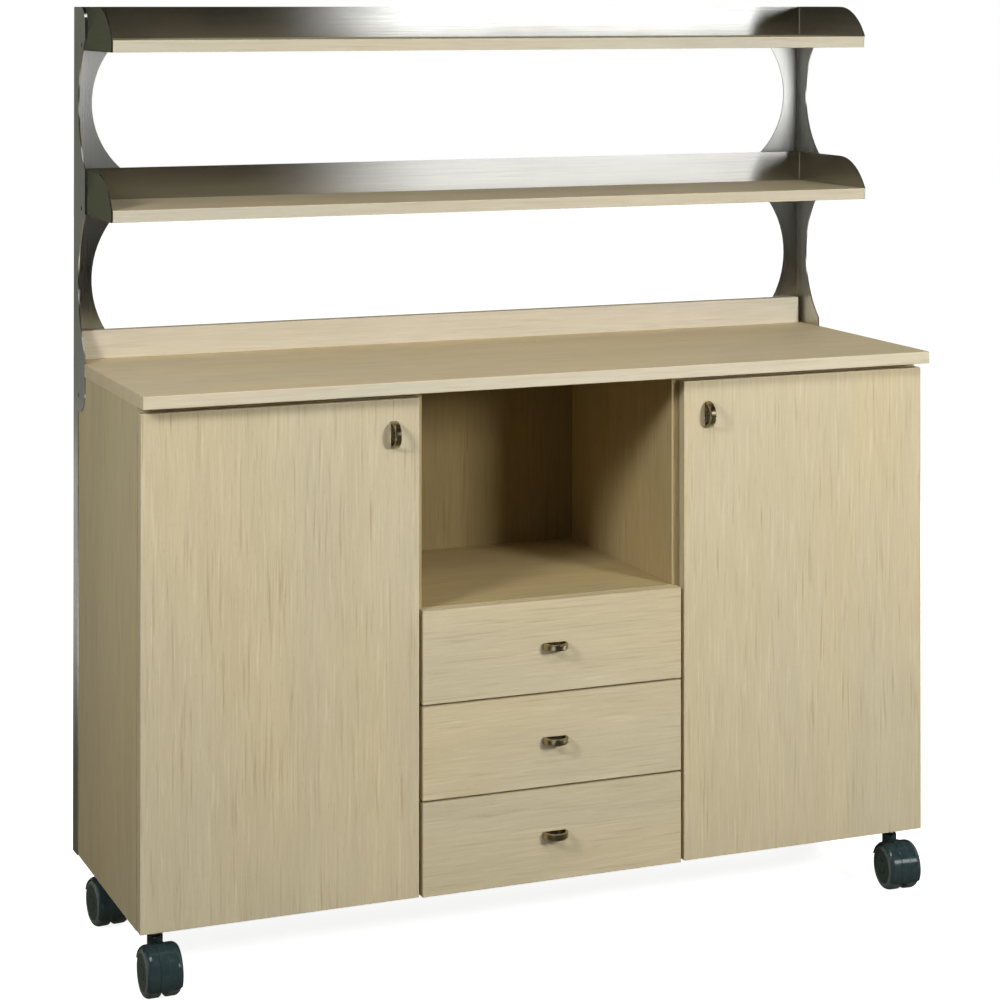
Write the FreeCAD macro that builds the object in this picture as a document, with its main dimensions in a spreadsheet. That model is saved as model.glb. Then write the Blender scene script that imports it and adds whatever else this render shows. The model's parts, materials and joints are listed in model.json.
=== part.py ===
import FreeCAD
import Part
import Sketcher
import math
import os
from types import SimpleNamespace

# A waiter service station: an oak cupboard and drawer carcass on castors, with two
# open shelves carried above the worktop by folded steel uprights.
# The origin is on the floor under the middle of the station, +Z is up and -Y is the front.

# Driving dimensions, in millimetres and degrees.
SIZES = {
    # carcass
    "castor_height": 100,
    "body_width": 1346,
    "body_depth": 433,
    "body_height": 785,
    "cutter_overrun": 5,
    "board": 19,
    "back_board": 8,
    "rear_edge_round": 1.5,
    "niche_width": 434,
    "niche_floor_rise": 0.5,
    "rail_width": 80,
    "worktop_thickness": 20,
    "front_overhang": 24,
    "worktop_edge_round": 1.2,
    "upstand_height": 46.5,
    "upstand_end_gap": 8,
    # doors
    "door_thickness": 19,
    "door_gap": 3,
    "door_top_gap": 9.5,
    "door_side_inset": 0.5,
    "door_reveal": 12.2,
    # cup hinges
    "hinge_end_distance": 100,
    "cup_radius": 17.5,
    "cup_depth": 13.5,
    "cup_wall": 0.8,
    "cup_edge_distance": 3,
    "cup_clearance": 0.1,
    "pivot_inset": 7.6,
    "pivot_depth": 9.5,
    "pivot_radius": 1.5,
    "pivot_clearance": 0.05,
    "knuckle_radius": 2.5,
    "knuckle_height": 11,
    "lug_thickness": 3.1,
    "lug_gap": 0.4,
    "lug_edge_wall": 0.3,
    "lug_inner_wall": 1.1,
    "lug_cap": 1.3,
    "lug_root": 0.3,
    "hinge_arm": 2,
    "hinge_reach": 80,
    "hinge_plate_height": 40,
    "hinge_plate_width": 36,
    "cup_wing_length": 9.5,
    "cup_wing_width": 12,
    "cup_wing_thickness": 1,
    # pulls
    "pull_radius": 21,
    "pull_foot": 2.5,
    "pull_strap": 4,
    "pull_width": 10,
    "pull_edge_round": 1.6,
    "door_pull_from_edge": 42,
    "door_pull_from_top": 55,
    # drawers
    "drawer_front_height": 146.2,
    "drawer_spacing": 3,
    "drawer_drop": 1.5,
    "drawer_overlap": 6.3,
    "drawer_board": 15,
    "drawer_bottom": 6,
    "drawer_back_gap": 34,
    "drawer_side_height": 95,
    "drawer_rise": 31.5,
    "drawer_side_gap": 1,
    "runner_height": 16,
    "runner_thickness": 8,
    "runner_setback": 10,
    "runner_end_gap": 41,
    "runner_clearance": 0.3,
    # shelves inside the cupboards
    "inner_shelf_height": 390,
    "inner_shelf_gap": 1,
    "inner_shelf_setback": 20,
    "pin_radius": 2.5,
    "pin_length": 16,
    "pin_inset": 45,
    # steel uprights
    "upright_sheet": 2,
    "upright_bend": 3,
    "side_leg": 80.5,
    "back_leg": 77,
    "scallop_depth": 47,
    "scallop_rise": 14.5,
    "upright_corner": 30,
    "foot_corner": 33,
    "foot_drop": 80,
    # open shelves
    "first_shelf_height": 260.3,
    "shelf_pitch": 265.7,
    "shelf_board": 19,
    "shelf_depth": 236,
    "shelf_play": 0.7,
    "rim_height": 52,
    "rail_sheet": 2,
    "rail_bend": 4,
    "rail_setback": 10,
    "rail_slope": 55,
    "rail_slope_round": 100,
    "rail_front_setback": 1,
    # screws
    "screw_radius": 2,
    "screw_head_radius": 4,
    "screw_length": 22,
    "screw_clearance": 0.1,
    "shelf_screw_from_back": 57,
    "foot_screw_from_back": 39,
    "foot_screw_drop": 55,
    "back_screw_end": 60,
    # castors
    "castor_from_side": 35,
    "castor_from_front": 46,
    "castor_from_back": 56,
    "castor_trail": 28,
    "castor_top": 84,
    "stem_collar_radius": 7.75,
    "stem_radius": 5.5,
    "stem_play": 0.1,
    "pivot_pin_radius": 5,
    "pivot_pin_length": 13,
    "swivel_gap": 0.3,
    "running_clearance": 0.05,
    "wheel_radius": 37.5,
    "wheel_width": 24,
    "wheel_gap": 0.8,
    "tread_round": 3,
    "wheel_dish": 1.5,
    "wheel_rim": 7,
    "wheel_hub_radius": 11,
    "castor_web": 6,
    "web_hub_radius": 9,
    "hood_gap": 0.8,
    "hood_thickness": 2.7,
    "hood_crown": 1.5,
    "hood_front_sweep": 118,
    "hood_back_sweep": 70,
    "boss_radius": 12,
    "boss_height": 34,
    "boss_round": 2,
    "axle_radius": 4,
    "axle_length": 53,
    "front_left_turn": 0,
    "front_right_turn": -5,
    "rear_left_turn": 5,
    "rear_right_turn": -5,
}

LEFT = -1
RIGHT = 1
SIDES = {"left": LEFT, "right": RIGHT}
DRAWERS = ("bottom", "middle", "top")


class Size:
    """A length or angle, as its present value and as the sheet formula that gives it."""

    def __init__(self, formula, value):
        self.formula = formula
        self.value = value

    def combine(self, sign, other, value):
        return Size(f"({self.formula} {sign} {other.formula})", value)

    def __add__(self, other):
        other = as_size(other)
        return self.combine("+", other, self.value + other.value)

    def __radd__(self, other):
        return as_size(other) + self

    def __sub__(self, other):
        other = as_size(other)
        return self.combine("-", other, self.value - other.value)

    def __rsub__(self, other):
        return as_size(other) - self

    def __mul__(self, other):
        other = as_size(other)
        return self.combine("*", other, self.value * other.value)

    def __rmul__(self, other):
        return as_size(other) * self

    def __truediv__(self, other):
        other = as_size(other)
        return self.combine("/", other, self.value / other.value)

    def __neg__(self):
        return as_size(-1) * self


def as_size(number):
    return number if isinstance(number, Size) else Size(f"({number})", number)


def sine(angle):
    return Size(f"sin({angle.formula})", math.sin(math.radians(angle.value)))


def cosine(angle):
    return Size(f"cos({angle.formula})", math.cos(math.radians(angle.value)))


def tangent(angle):
    return Size(f"tan({angle.formula})", math.tan(math.radians(angle.value)))


doc = FreeCAD.newDocument("service_station")
sheet = doc.addObject("Spreadsheet::Sheet", "Sizes")
for row, (name, number) in enumerate(SIZES.items(), start=1):
    sheet.set(f"A{row}", name)
    sheet.set(f"B{row}", str(number))
    sheet.setAlias(f"B{row}", name)
doc.recompute()

S = SimpleNamespace(**{name: Size(f"Sizes.{name}", number) for name, number in SIZES.items()})
nodes = {}


# General helpers

def bind(item, prop, size):
    item.setExpression(prop, as_size(size).formula)


def place(item, x, y, z):
    for axis, size in zip("xyz", (x, y, z)):
        bind(item, f"Placement.Base.{axis}", size)


def node(label, item):
    """Name a finished piece; its label is also the name of its file."""
    item.Label = label
    nodes[label] = item
    return item


def span(one, other):
    """The two ends of a stretch, lowest first."""
    one, other = as_size(one), as_size(other)
    return (one, other) if one.value < other.value else (other, one)


def block(name, x, y, z):
    """A rectangular board or cutter between three pairs of planes."""
    box = doc.addObject("Part::Box", name)
    ends = [span(*pair) for pair in (x, y, z)]
    for prop, (low, high) in zip(("Length", "Width", "Height"), ends):
        bind(box, prop, high - low)
    place(box, *(low for low, high in ends))
    return box


TURNS = {
    "+X": FreeCAD.Rotation(FreeCAD.Vector(0, 1, 0), 90),
    "-X": FreeCAD.Rotation(FreeCAD.Vector(0, 1, 0), -90),
    "+Y": FreeCAD.Rotation(FreeCAD.Vector(1, 0, 0), -90),
    "-Y": FreeCAD.Rotation(FreeCAD.Vector(1, 0, 0), 90),
    "+Z": FreeCAD.Rotation(),
    "-Z": FreeCAD.Rotation(FreeCAD.Vector(1, 0, 0), 180),
}


def rod(name, start, heading, radius, length):
    """A cylinder that starts at a point and runs along one of the six headings."""
    cylinder = doc.addObject("Part::Cylinder", name)
    bind(cylinder, "Radius", radius)
    bind(cylinder, "Height", length)
    cylinder.Placement = FreeCAD.Placement(FreeCAD.Vector(), TURNS[heading])
    place(cylinder, *start)
    return cylinder


def taper(name, start, heading, wide, narrow, length):
    cone = doc.addObject("Part::Cone", name)
    bind(cone, "Radius1", wide)
    bind(cone, "Radius2", narrow)
    bind(cone, "Height", length)
    cone.Placement = FreeCAD.Placement(FreeCAD.Vector(), TURNS[heading])
    place(cone, *start)
    return cone


def together(name, pieces):
    group = doc.addObject("Part::Compound", name)
    group.Links = pieces
    return group


def joined(name, pieces):
    union = doc.addObject("Part::MultiFuse", name)
    union.Shapes = pieces
    return union


def cut(name, base, cutters):
    """The base with every cutter taken away."""
    result = doc.addObject("Part::Cut", name)
    result.Base = base
    result.Tool = cutters[0] if len(cutters) == 1 else together(f"{name}_cutters", cutters)
    return result


# Helpers for bodies

def new_body(name):
    body = doc.addObject("PartDesign::Body", name)
    body.AllowCompound = True
    return body


def empty_sketch(body, role, height, rise=0):
    """A sketch on one of the body's own origin planes, moved along its normal and up it."""
    drawing = body.newObject("Sketcher::SketchObject", f"{body.Name}_outline")
    plane = next(item for item in body.Origin.OriginFeatures if item.Role == role)
    drawing.AttachmentSupport = [(plane, "")]
    drawing.MapMode = "FlatFace"
    bind(drawing, "AttachmentOffset.Base.z", height)
    bind(drawing, "AttachmentOffset.Base.y", rise)
    return drawing


def pin_point(drawing, edge, end, x, y):
    """Tie one end of an edge to its place in the sketch."""
    for kind, size in (("DistanceX", x), ("DistanceY", y)):
        size = as_size(size)
        index = drawing.addConstraint(Sketcher.Constraint(kind, -1, 1, edge, end, size.value))
        drawing.setExpression(f"Constraints[{index}]", size.formula)


def arc_between(start, finish, radius):
    """The short arc from start to finish; it turns left when the radius is positive."""
    chord = finish - start
    half = chord.Length / 2
    reach = math.sqrt(max(radius * radius - half * half, 0.0))
    left = FreeCAD.Vector(-chord.y, chord.x, 0).normalize()
    turn = 1 if radius > 0 else -1
    centre = (start + finish) * 0.5 + left * (reach * turn)
    first, last = (start, finish) if turn > 0 else (finish, start)
    angles = [math.atan2(point.y - centre.y, point.x - centre.x) for point in (first, last)]
    circle = Part.Circle(centre, FreeCAD.Vector(0, 0, 1), abs(radius))
    return Part.ArcOfCircle(circle, *angles)


def outline(body, role, corners, height=0, rise=0):
    """A closed outline. A corner is (x, y), or (x, y, radius) where an arc leads to it."""
    drawing = empty_sketch(body, role, height, rise)
    corners = [tuple(as_size(size) for size in corner) for corner in corners]
    points = [FreeCAD.Vector(corner[0].value, corner[1].value, 0) for corner in corners]
    ends = []
    for index, corner in enumerate(corners):
        start, finish = points[index - 1], points[index]
        if len(corner) == 2:
            drawing.addGeometry(Part.LineSegment(start, finish), False)
            ends.append((1, 2))
        else:
            drawing.addGeometry(arc_between(start, finish, corner[2].value), False)
            ends.append((1, 2) if corner[2].value > 0 else (2, 1))
    for index, corner in enumerate(corners):
        following = (index + 1) % len(corners)
        drawing.addConstraint(
            Sketcher.Constraint("Coincident", index, ends[index][1], following, ends[following][0]))
        pin_point(drawing, index, ends[index][1], corner[0], corner[1])
        if len(corner) == 3:
            sign = 1 if corner[2].value > 0 else -1
            radius = corner[2] * sign
            limit = drawing.addConstraint(Sketcher.Constraint("Radius", index, radius.value))
            drawing.setExpression(f"Constraints[{limit}]", radius.formula)
    return drawing


def ring(body, role, x, y, radius, height=0):
    """A sketch of one circle."""
    drawing = empty_sketch(body, role, height)
    x, y, radius = as_size(x), as_size(y), as_size(radius)
    centre = FreeCAD.Vector(x.value, y.value, 0)
    drawing.addGeometry(Part.Circle(centre, FreeCAD.Vector(0, 0, 1), radius.value), False)
    pin_point(drawing, 0, 3, x, y)
    limit = drawing.addConstraint(Sketcher.Constraint("Radius", 0, radius.value))
    drawing.setExpression(f"Constraints[{limit}]", radius.formula)
    return drawing


def pad(body, drawing, length):
    """Raise a sketch along its plane's normal."""
    feature = body.newObject("PartDesign::Pad", f"{body.Name}_pad")
    feature.Profile = drawing
    bind(feature, "Length", length)
    body.Tip = feature
    return feature


def pocket(body, drawing, length):
    """Cut a sketch into the body along its plane's normal."""
    doc.recompute()
    before = body.Shape.Volume
    feature = body.newObject("PartDesign::Pocket", f"{body.Name}_pocket")
    feature.Profile = drawing
    feature.Reversed = True
    bind(feature, "Length", length)
    body.Tip = feature
    doc.recompute()
    if body.Shape.Volume >= before:
        raise RuntimeError(f"{feature.Name} removes nothing")
    return feature


def revolved(body, drawing, angle=360, back_angle=None):
    """Revolve a sketch about its own horizontal axis, one way or by an angle each way."""
    feature = body.newObject("PartDesign::Revolution", f"{body.Name}_turning")
    feature.Profile = drawing
    feature.ReferenceAxis = (drawing, ["H_Axis"])
    bind(feature, "Angle", angle)
    if back_angle is not None:
        feature.Type = "TwoAngles"
        bind(feature, "Angle2", back_angle)
    body.Tip = feature
    return feature


def rounded(body, radius, wanted):
    """Round the edges of the body that the test picks out."""
    doc.recompute()
    feature = body.Tip
    names = [f"Edge{number}" for number, edge in enumerate(feature.Shape.Edges, start=1) if wanted(edge)]
    fillet = body.newObject("PartDesign::Fillet", f"{body.Name}_round")
    fillet.Base = (feature, names)
    bind(fillet, "Radius", radius)
    body.Tip = fillet
    return fillet


# Shared places

underside = S.castor_height
door_face = (S.front_overhang - S.body_depth) / 2
door_back = door_face + S.door_thickness
carcass_front = door_back + S.door_gap
steel_back = door_face + S.body_depth
carcass_rear = steel_back - S.upright_sheet
back_front = carcass_rear - S.back_board
half_body = S.body_width / 2
side_inner = half_body - S.board
niche_half = S.niche_width / 2
partition_outer = niche_half + S.board
worktop_bottom = underside + S.body_height
worktop_top = worktop_bottom + S.worktop_thickness
steel_outer = half_body + S.upright_sheet

door_edge = half_body - S.door_side_inset
door_inner_edge = niche_half + S.door_reveal
door_top = worktop_bottom - S.door_top_gap
hinge_heights = (underside + S.hinge_end_distance, door_top - S.hinge_end_distance)

drawer_pitch = S.drawer_front_height + S.drawer_spacing
drawers_bottom = underside - S.drawer_drop
drawers_top = drawers_bottom + drawer_pitch * len(DRAWERS) - S.drawer_spacing
niche_floor_top = drawers_top + S.niche_floor_rise

shelf_tops = {"lower": worktop_top + S.first_shelf_height}
shelf_tops["upper"] = shelf_tops["lower"] + S.shelf_pitch
steel_top = shelf_tops["upper"] + S.rim_height
rail_back = carcass_rear - S.rail_setback
rail_inner_back = rail_back - S.rail_sheet
rail_inner_end = half_body - S.rail_sheet
shelf_front = rail_inner_back - S.shelf_depth


def castor_places():
    """The middle of each castor's stem, and the angle that the castor stands at."""
    stem_x = half_body - S.castor_from_side
    rows = {"front": door_face + S.castor_from_front, "rear": steel_back - S.castor_from_back}
    return {
        f"{row}_{side}": (stem_x * sign, stem_y, getattr(S, f"{row}_{side}_turn"))
        for row, stem_y in rows.items()
        for side, sign in SIDES.items()
    }


# Screws

def screw(name, tip_start, heading, clearance=0):
    """A countersunk screw whose head is flush with the point where it starts."""
    head_height = S.screw_head_radius - S.screw_radius
    head = taper(f"{name}_head", tip_start, heading, S.screw_head_radius + clearance,
                 S.screw_radius + clearance, head_height)
    shank = rod(f"{name}_shank", tip_start, heading, S.screw_radius + clearance,
                S.screw_length + clearance)
    return joined(name, [head, shank])


def steel_screw_places():
    """Where each screw of the steelwork starts, and the way it points."""
    places = []
    for side, sign in SIDES.items():
        inward = "+X" if sign == LEFT else "-X"
        outer = steel_outer * sign
        for level, top in shelf_tops.items():
            height = top - S.shelf_board / 2
            start = (outer, steel_back - S.shelf_screw_from_back, height)
            places.append((f"{level}_{side}", start, inward))
        foot_start = (outer, steel_back - S.foot_screw_from_back, worktop_top - S.foot_screw_drop)
        places.append((f"foot_{side}", foot_start, inward))
        edge_middle = (half_body - S.board / 2) * sign
        lowest = underside + S.back_screw_end
        highest = worktop_bottom - S.back_screw_end
        for count, height in enumerate((lowest, (lowest + highest) / 2, highest)):
            places.append((f"back_{side}_{count}", (edge_middle, steel_back, height), "-Y"))
    return places


def screws(label, part_names, clearance=0):
    return [
        screw(f"{label}_{name}", start, heading, clearance)
        for name, start, heading in steel_screw_places()
        if any(word in name for word in part_names)
    ]


# Carcass

def pin_places(side):
    """The shelf pins of one cupboard: where each starts and the way it points."""
    sign = SIDES[side]
    pin_z = underside + S.inner_shelf_height - S.pin_radius
    rows = (carcass_front + S.inner_shelf_setback + S.pin_inset, back_front - S.pin_inset)
    outward = "-X" if sign == LEFT else "+X"
    inward = "+X" if sign == LEFT else "-X"
    half = S.pin_length / 2
    return {
        "side_panel": [((((side_inner - half) * sign), row_y, pin_z), outward) for row_y in rows],
        "partition": [((((partition_outer + half) * sign), row_y, pin_z), inward) for row_y in rows],
    }


def pin_rods(label, side, board, clearance=0):
    return [
        rod(f"{label}_{board}_{side}_{count}", start, heading, S.pin_radius + clearance, S.pin_length)
        for count, (start, heading) in enumerate(pin_places(side)[board])
    ]


def side_panel(name, sign):
    """A side board whose rear outer edge is rounded, so that it fits into the upright's fold."""
    body = new_body(name)
    ease = S.rear_edge_round
    section = [
        (side_inner * sign, carcass_front), (half_body * sign, carcass_front),
        (half_body * sign, carcass_rear - ease), ((half_body - ease) * sign, carcass_rear, ease * sign),
        (side_inner * sign, carcass_rear),
    ]
    pad(body, outline(body, "XY_Plane", section, underside), S.body_height)
    return body


def carcass():
    inner_depth = (carcass_front, back_front)
    full_height = (underside, worktop_bottom)
    above_bottom = (underside + S.board, worktop_bottom)
    pins = []
    for side, sign in SIDES.items():
        pilots = screws(f"pilot_{side}", [f"foot_{side}", f"back_{side}"], S.screw_clearance)
        cutters = pin_rods("hole", side, "side_panel") + pilots
        node(f"side_panel_{side}", cut(f"{side}_panel_drilled", side_panel(f"{side}_panel", sign), cutters))
        wall = block(f"{side}_wall", (niche_half * sign, partition_outer * sign), inner_depth, above_bottom)
        node(f"partition_{side}", cut(f"{side}_wall_drilled", wall, pin_rods("hole", side, "partition")))
        pins += pin_rods("pin", side, "side_panel") + pin_rods("pin", side, "partition")
        shelf_x = ((partition_outer + S.inner_shelf_gap) * sign, (side_inner - S.inner_shelf_gap) * sign)
        shelf_y = (carcass_front + S.inner_shelf_setback, back_front - S.inner_shelf_gap)
        shelf_z = (underside + S.inner_shelf_height, underside + S.inner_shelf_height + S.board)
        node(f"cupboard_shelf_{side}", block(f"{side}_shelf", shelf_x, shelf_y, shelf_z))
    node("shelf_pins", together("pin_set", pins))

    base = block("base", (-side_inner, side_inner), inner_depth, (underside, underside + S.board))
    sockets = [
        rod(f"socket_{place_name}", (x, y, underside), "+Z", S.stem_radius + S.stem_play, S.board)
        for place_name, (x, y, turn) in castor_places().items()
    ]
    node("bottom_panel", cut("base_drilled", base, sockets))
    node("niche_floor", block("floor", (-niche_half, niche_half), inner_depth,
                              (niche_floor_top - S.board, niche_floor_top)))
    node("back_panel", block("back", (-side_inner, side_inner), (back_front, carcass_rear), full_height))

    rails = []
    rail_z = (worktop_bottom - S.board, worktop_bottom)
    for side, sign in SIDES.items():
        rail_x = (partition_outer * sign, side_inner * sign)
        rows = {
            "front": (carcass_front, carcass_front + S.rail_width),
            "rear": (back_front - S.rail_width, back_front),
        }
        for row, rail_y in rows.items():
            rails.append(block(f"{row}_rail_{side}", rail_x, rail_y, rail_z))
    node("top_rails", together("rail_set", rails))


def worktop():
    """The top board, notched at its rear corners for the steel uprights."""
    body = new_body("top_board")
    front = door_face - S.front_overhang
    notch = steel_back - S.side_leg
    ease = S.rear_edge_round
    corners = [
        (steel_outer, front), (steel_outer, notch), (half_body, notch), (half_body, carcass_rear - ease),
        (half_body - ease, carcass_rear, ease), (-(half_body - ease), carcass_rear),
        (-half_body, carcass_rear - ease, ease), (-half_body, notch), (-steel_outer, notch),
        (-steel_outer, front),
    ]
    pad(body, outline(body, "XY_Plane", corners, worktop_bottom), S.worktop_thickness)
    edge_y = front.value
    rounded(body, S.worktop_edge_round,
            lambda edge: all(abs(vertex.Y - edge_y) < 0.01 for vertex in edge.Vertexes)
            and abs(edge.Vertexes[0].Z - edge.Vertexes[-1].Z) < 0.01)
    node("worktop", body)
    upstand_half = half_body - S.upstand_end_gap
    upstand_y = (carcass_rear - S.board, carcass_rear)
    upstand_z = (worktop_top, worktop_top + S.upstand_height)
    node("rear_upstand", block("upstand", (-upstand_half, upstand_half), upstand_y, upstand_z))


# Steelwork

def leg_cutouts(body, role, edge, toward_wall, height, depth):
    """Cut one leg of an upright to shape: two scallops, the narrow foot and the rounded top.

    edge is the leg's free edge, toward_wall is +1 or -1 towards its bend."""
    lower_shelf = shelf_tops["lower"]
    bays = (
        (worktop_top + S.scallop_rise, lower_shelf - S.shelf_board),
        (lower_shelf + S.rim_height, shelf_tops["upper"]),
    )
    for low, high in bays:
        half = (high - low) / 2
        radius = (half * half + S.scallop_depth * S.scallop_depth) / (S.scallop_depth * 2)
        centre = edge + (S.scallop_depth - radius) * toward_wall
        pocket(body, ring(body, role, centre, (low + high) / 2, radius, height), depth)
    over = S.cutter_overrun
    waste = edge - over * toward_wall
    narrow = edge + S.scallop_depth * toward_wall
    foot_top = worktop_top - S.foot_drop
    round_end = edge + S.foot_corner * toward_wall
    foot = [
        (waste, underside - over), (narrow, underside - over), (narrow, foot_top), (round_end, foot_top),
        (edge, foot_top + S.foot_corner, S.foot_corner * -toward_wall), (waste, foot_top + S.foot_corner),
    ]
    pocket(body, outline(body, role, foot, height), depth)
    top_end = edge + S.upright_corner * toward_wall
    top = [
        (waste, steel_top - S.upright_corner), (edge, steel_top - S.upright_corner),
        (top_end, steel_top, S.upright_corner * -toward_wall), (top_end, steel_top + over),
        (waste, steel_top + over),
    ]
    pocket(body, outline(body, role, top, height), depth)


def upright(side, sign):
    """A folded angle of steel sheet, one leg on the station's side and one on its back."""
    body = new_body(f"{side}_angle")
    outer = steel_outer * sign
    inner = half_body * sign
    front = steel_back - S.side_leg
    free = (steel_outer - S.back_leg) * sign
    fold = S.upright_bend
    inner_fold = fold - S.upright_sheet
    section = [
        (inner, front), (outer, front), (outer, steel_back - fold),
        (outer - fold * sign, steel_back, fold * sign), (free, steel_back), (free, carcass_rear),
        (inner - inner_fold * sign, carcass_rear), (inner, carcass_rear - inner_fold, -inner_fold * sign),
    ]
    pad(body, outline(body, "XY_Plane", section, underside), steel_top - underside)
    over = S.cutter_overrun
    sheet_low = span(outer, inner)[0]
    leg_cutouts(body, "YZ_Plane", front, 1, sheet_low - over, S.upright_sheet + over * 2)
    leg_cutouts(body, "XZ_Plane", free, sign, -(steel_back + over), S.upright_sheet + over * 2)
    holes = screws(f"upright_hole_{side}", [f"_{side}"], S.screw_clearance)
    node(f"upright_{side}", cut(f"{side}_angle_drilled", body, holes))


def shelf_rail(level, top):
    """The folded tray rim of one shelf: a back strip and two end plates with sloping tops."""
    body = new_body(f"{level}_rim")
    front = shelf_front + S.rail_front_setback
    fold = S.rail_bend
    inner_fold = fold - S.rail_sheet
    right_half = [
        (rail_inner_end, front), (half_body, front), (half_body, rail_back - fold),
        (half_body - fold, rail_back, fold),
    ]
    left_outer = [
        (-(half_body - fold), rail_back), (-half_body, rail_back - fold, fold), (-half_body, front),
        (-rail_inner_end, front),
    ]
    inner = [
        (-rail_inner_end, rail_inner_back - inner_fold),
        (-(rail_inner_end - inner_fold), rail_inner_back, -inner_fold),
        (rail_inner_end - inner_fold, rail_inner_back),
        (rail_inner_end, rail_inner_back - inner_fold, -inner_fold),
    ]
    bottom = top - S.shelf_board
    section = right_half + left_outer + inner
    pad(body, outline(body, "XY_Plane", section, bottom), S.shelf_board + S.rim_height)
    rim_top = top + S.rim_height
    run = S.rim_height / tangent(S.rail_slope)
    easing = S.rail_slope_round * tangent(S.rail_slope / 2)
    bend_y = front + run
    over = S.cutter_overrun
    slope = [
        (front - over, top), (front, top),
        (bend_y - easing * cosine(S.rail_slope), rim_top - easing * sine(S.rail_slope)),
        (bend_y + easing, rim_top, -S.rail_slope_round), (bend_y + easing, rim_top + over),
        (front - over, rim_top + over),
    ]
    width = half_body + over
    pocket(body, outline(body, "YZ_Plane", slope, -width), width * 2)
    holes = screws(f"rail_hole_{level}", [f"{level}_"], S.screw_clearance)
    node(f"shelf_rail_{level}", cut(f"{level}_rim_drilled", body, holes))
    half_board = rail_inner_end - S.shelf_play
    board_y = (shelf_front, rail_inner_back - S.shelf_play)
    board = block(f"{level}_board", (-half_board, half_board), board_y, (bottom, top))
    pilots = screws(f"shelf_pilot_{level}", [f"{level}_"], S.screw_clearance)
    node(f"shelf_board_{level}", cut(f"{level}_board_drilled", board, pilots))


def steelwork():
    for side, sign in SIDES.items():
        upright(side, sign)
    for level, top in shelf_tops.items():
        shelf_rail(level, top)
    node("steelwork_screws", together("steel_screw_set", screws("screw", [""])))


# Cup hinges and doors

def hinge_x(sign, inset):
    """A distance in from the door's outer edge."""
    return (door_edge - inset) * sign


def cup_middle():
    return S.cup_edge_distance + S.cup_radius


def hinge_arm(name, sign, height):
    """The cranked arm that turns on the pin and is fixed to the side panel's inner face."""
    body = new_body(name)
    wall = door_edge - side_inner
    elbow = wall + S.hinge_arm
    pivot_y = door_face + S.pivot_depth
    half = S.hinge_arm / 2
    low = height - S.knuckle_height / 2
    path = [
        (hinge_x(sign, S.pivot_inset), pivot_y - half), (hinge_x(sign, elbow), pivot_y - half),
        (hinge_x(sign, elbow), door_face + S.hinge_reach), (hinge_x(sign, wall), door_face + S.hinge_reach),
        (hinge_x(sign, wall), pivot_y + half), (hinge_x(sign, S.pivot_inset), pivot_y + half),
    ]
    pad(body, outline(body, "XY_Plane", path, low), S.knuckle_height)
    pad(body, ring(body, "XY_Plane", hinge_x(sign, S.pivot_inset), pivot_y, S.knuckle_radius, low),
        S.knuckle_height)
    plate_y = door_face + S.hinge_reach
    plate = [
        (hinge_x(sign, elbow), plate_y - S.hinge_plate_width), (hinge_x(sign, elbow), plate_y),
        (hinge_x(sign, wall), plate_y), (hinge_x(sign, wall), plate_y - S.hinge_plate_width),
    ]
    pad(body, outline(body, "XY_Plane", plate, height - S.hinge_plate_height / 2), S.hinge_plate_height)
    over = S.cutter_overrun
    pocket(body, ring(body, "XY_Plane", hinge_x(sign, S.pivot_inset), pivot_y,
                      S.pivot_radius + S.pivot_clearance, low - over), S.knuckle_height + over * 2)
    return body


def hinge_cup(name, sign, height):
    """The cup let into the door, with its two fixing wings and the lugs that hold the pin."""
    body = new_body(name)
    middle = hinge_x(sign, cup_middle())
    floor_y = door_back - S.cup_depth
    inner_floor = floor_y + S.cup_wall
    # The plane's normal is -Y, so a sketch at height h lies at Y = -h and rises forwards.
    pad(body, ring(body, "XZ_Plane", middle, height, S.cup_radius, -door_back), S.cup_depth)
    wing_half = S.cup_radius + S.cup_wing_length
    half_width = S.cup_wing_width / 2
    wing = [
        (middle - half_width, height - wing_half), (middle + half_width, height - wing_half),
        (middle + half_width, height + wing_half), (middle - half_width, height + wing_half),
    ]
    wing_back = door_back + S.cup_wing_thickness
    pad(body, outline(body, "XZ_Plane", wing, -wing_back), S.cup_wing_thickness)
    pocket(body, ring(body, "XZ_Plane", middle, height, S.cup_radius - S.cup_wall, -wing_back),
           wing_back - inner_floor)
    near = S.pivot_inset - S.pivot_radius - S.lug_edge_wall
    far = S.pivot_inset + S.pivot_radius + S.lug_inner_wall
    root_y = inner_floor - S.lug_root
    cap_y = door_face + S.pivot_depth + S.pivot_radius + S.lug_cap
    for above in (-1, 1):
        first = S.knuckle_height / 2 + S.lug_gap
        low, high = span(height + first * above, height + (first + S.lug_thickness) * above)
        lug = [
            (hinge_x(sign, near), root_y), (hinge_x(sign, far), root_y), (hinge_x(sign, far), cap_y),
            (hinge_x(sign, near), cap_y),
        ]
        pad(body, outline(body, "XY_Plane", lug, low), high - low)
    reach = S.knuckle_height / 2 + S.lug_gap + S.lug_thickness
    over = S.cutter_overrun
    pocket(body, ring(body, "XY_Plane", hinge_x(sign, S.pivot_inset), door_face + S.pivot_depth,
                      S.pivot_radius, height - reach - over), (reach + over) * 2)
    return body


def hinge_pin(name, sign, height):
    reach = S.knuckle_height / 2 + S.lug_gap + S.lug_thickness
    start = (hinge_x(sign, S.pivot_inset), door_face + S.pivot_depth, height - reach)
    return rod(name, start, "+Z", S.pivot_radius, reach * 2)


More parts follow.
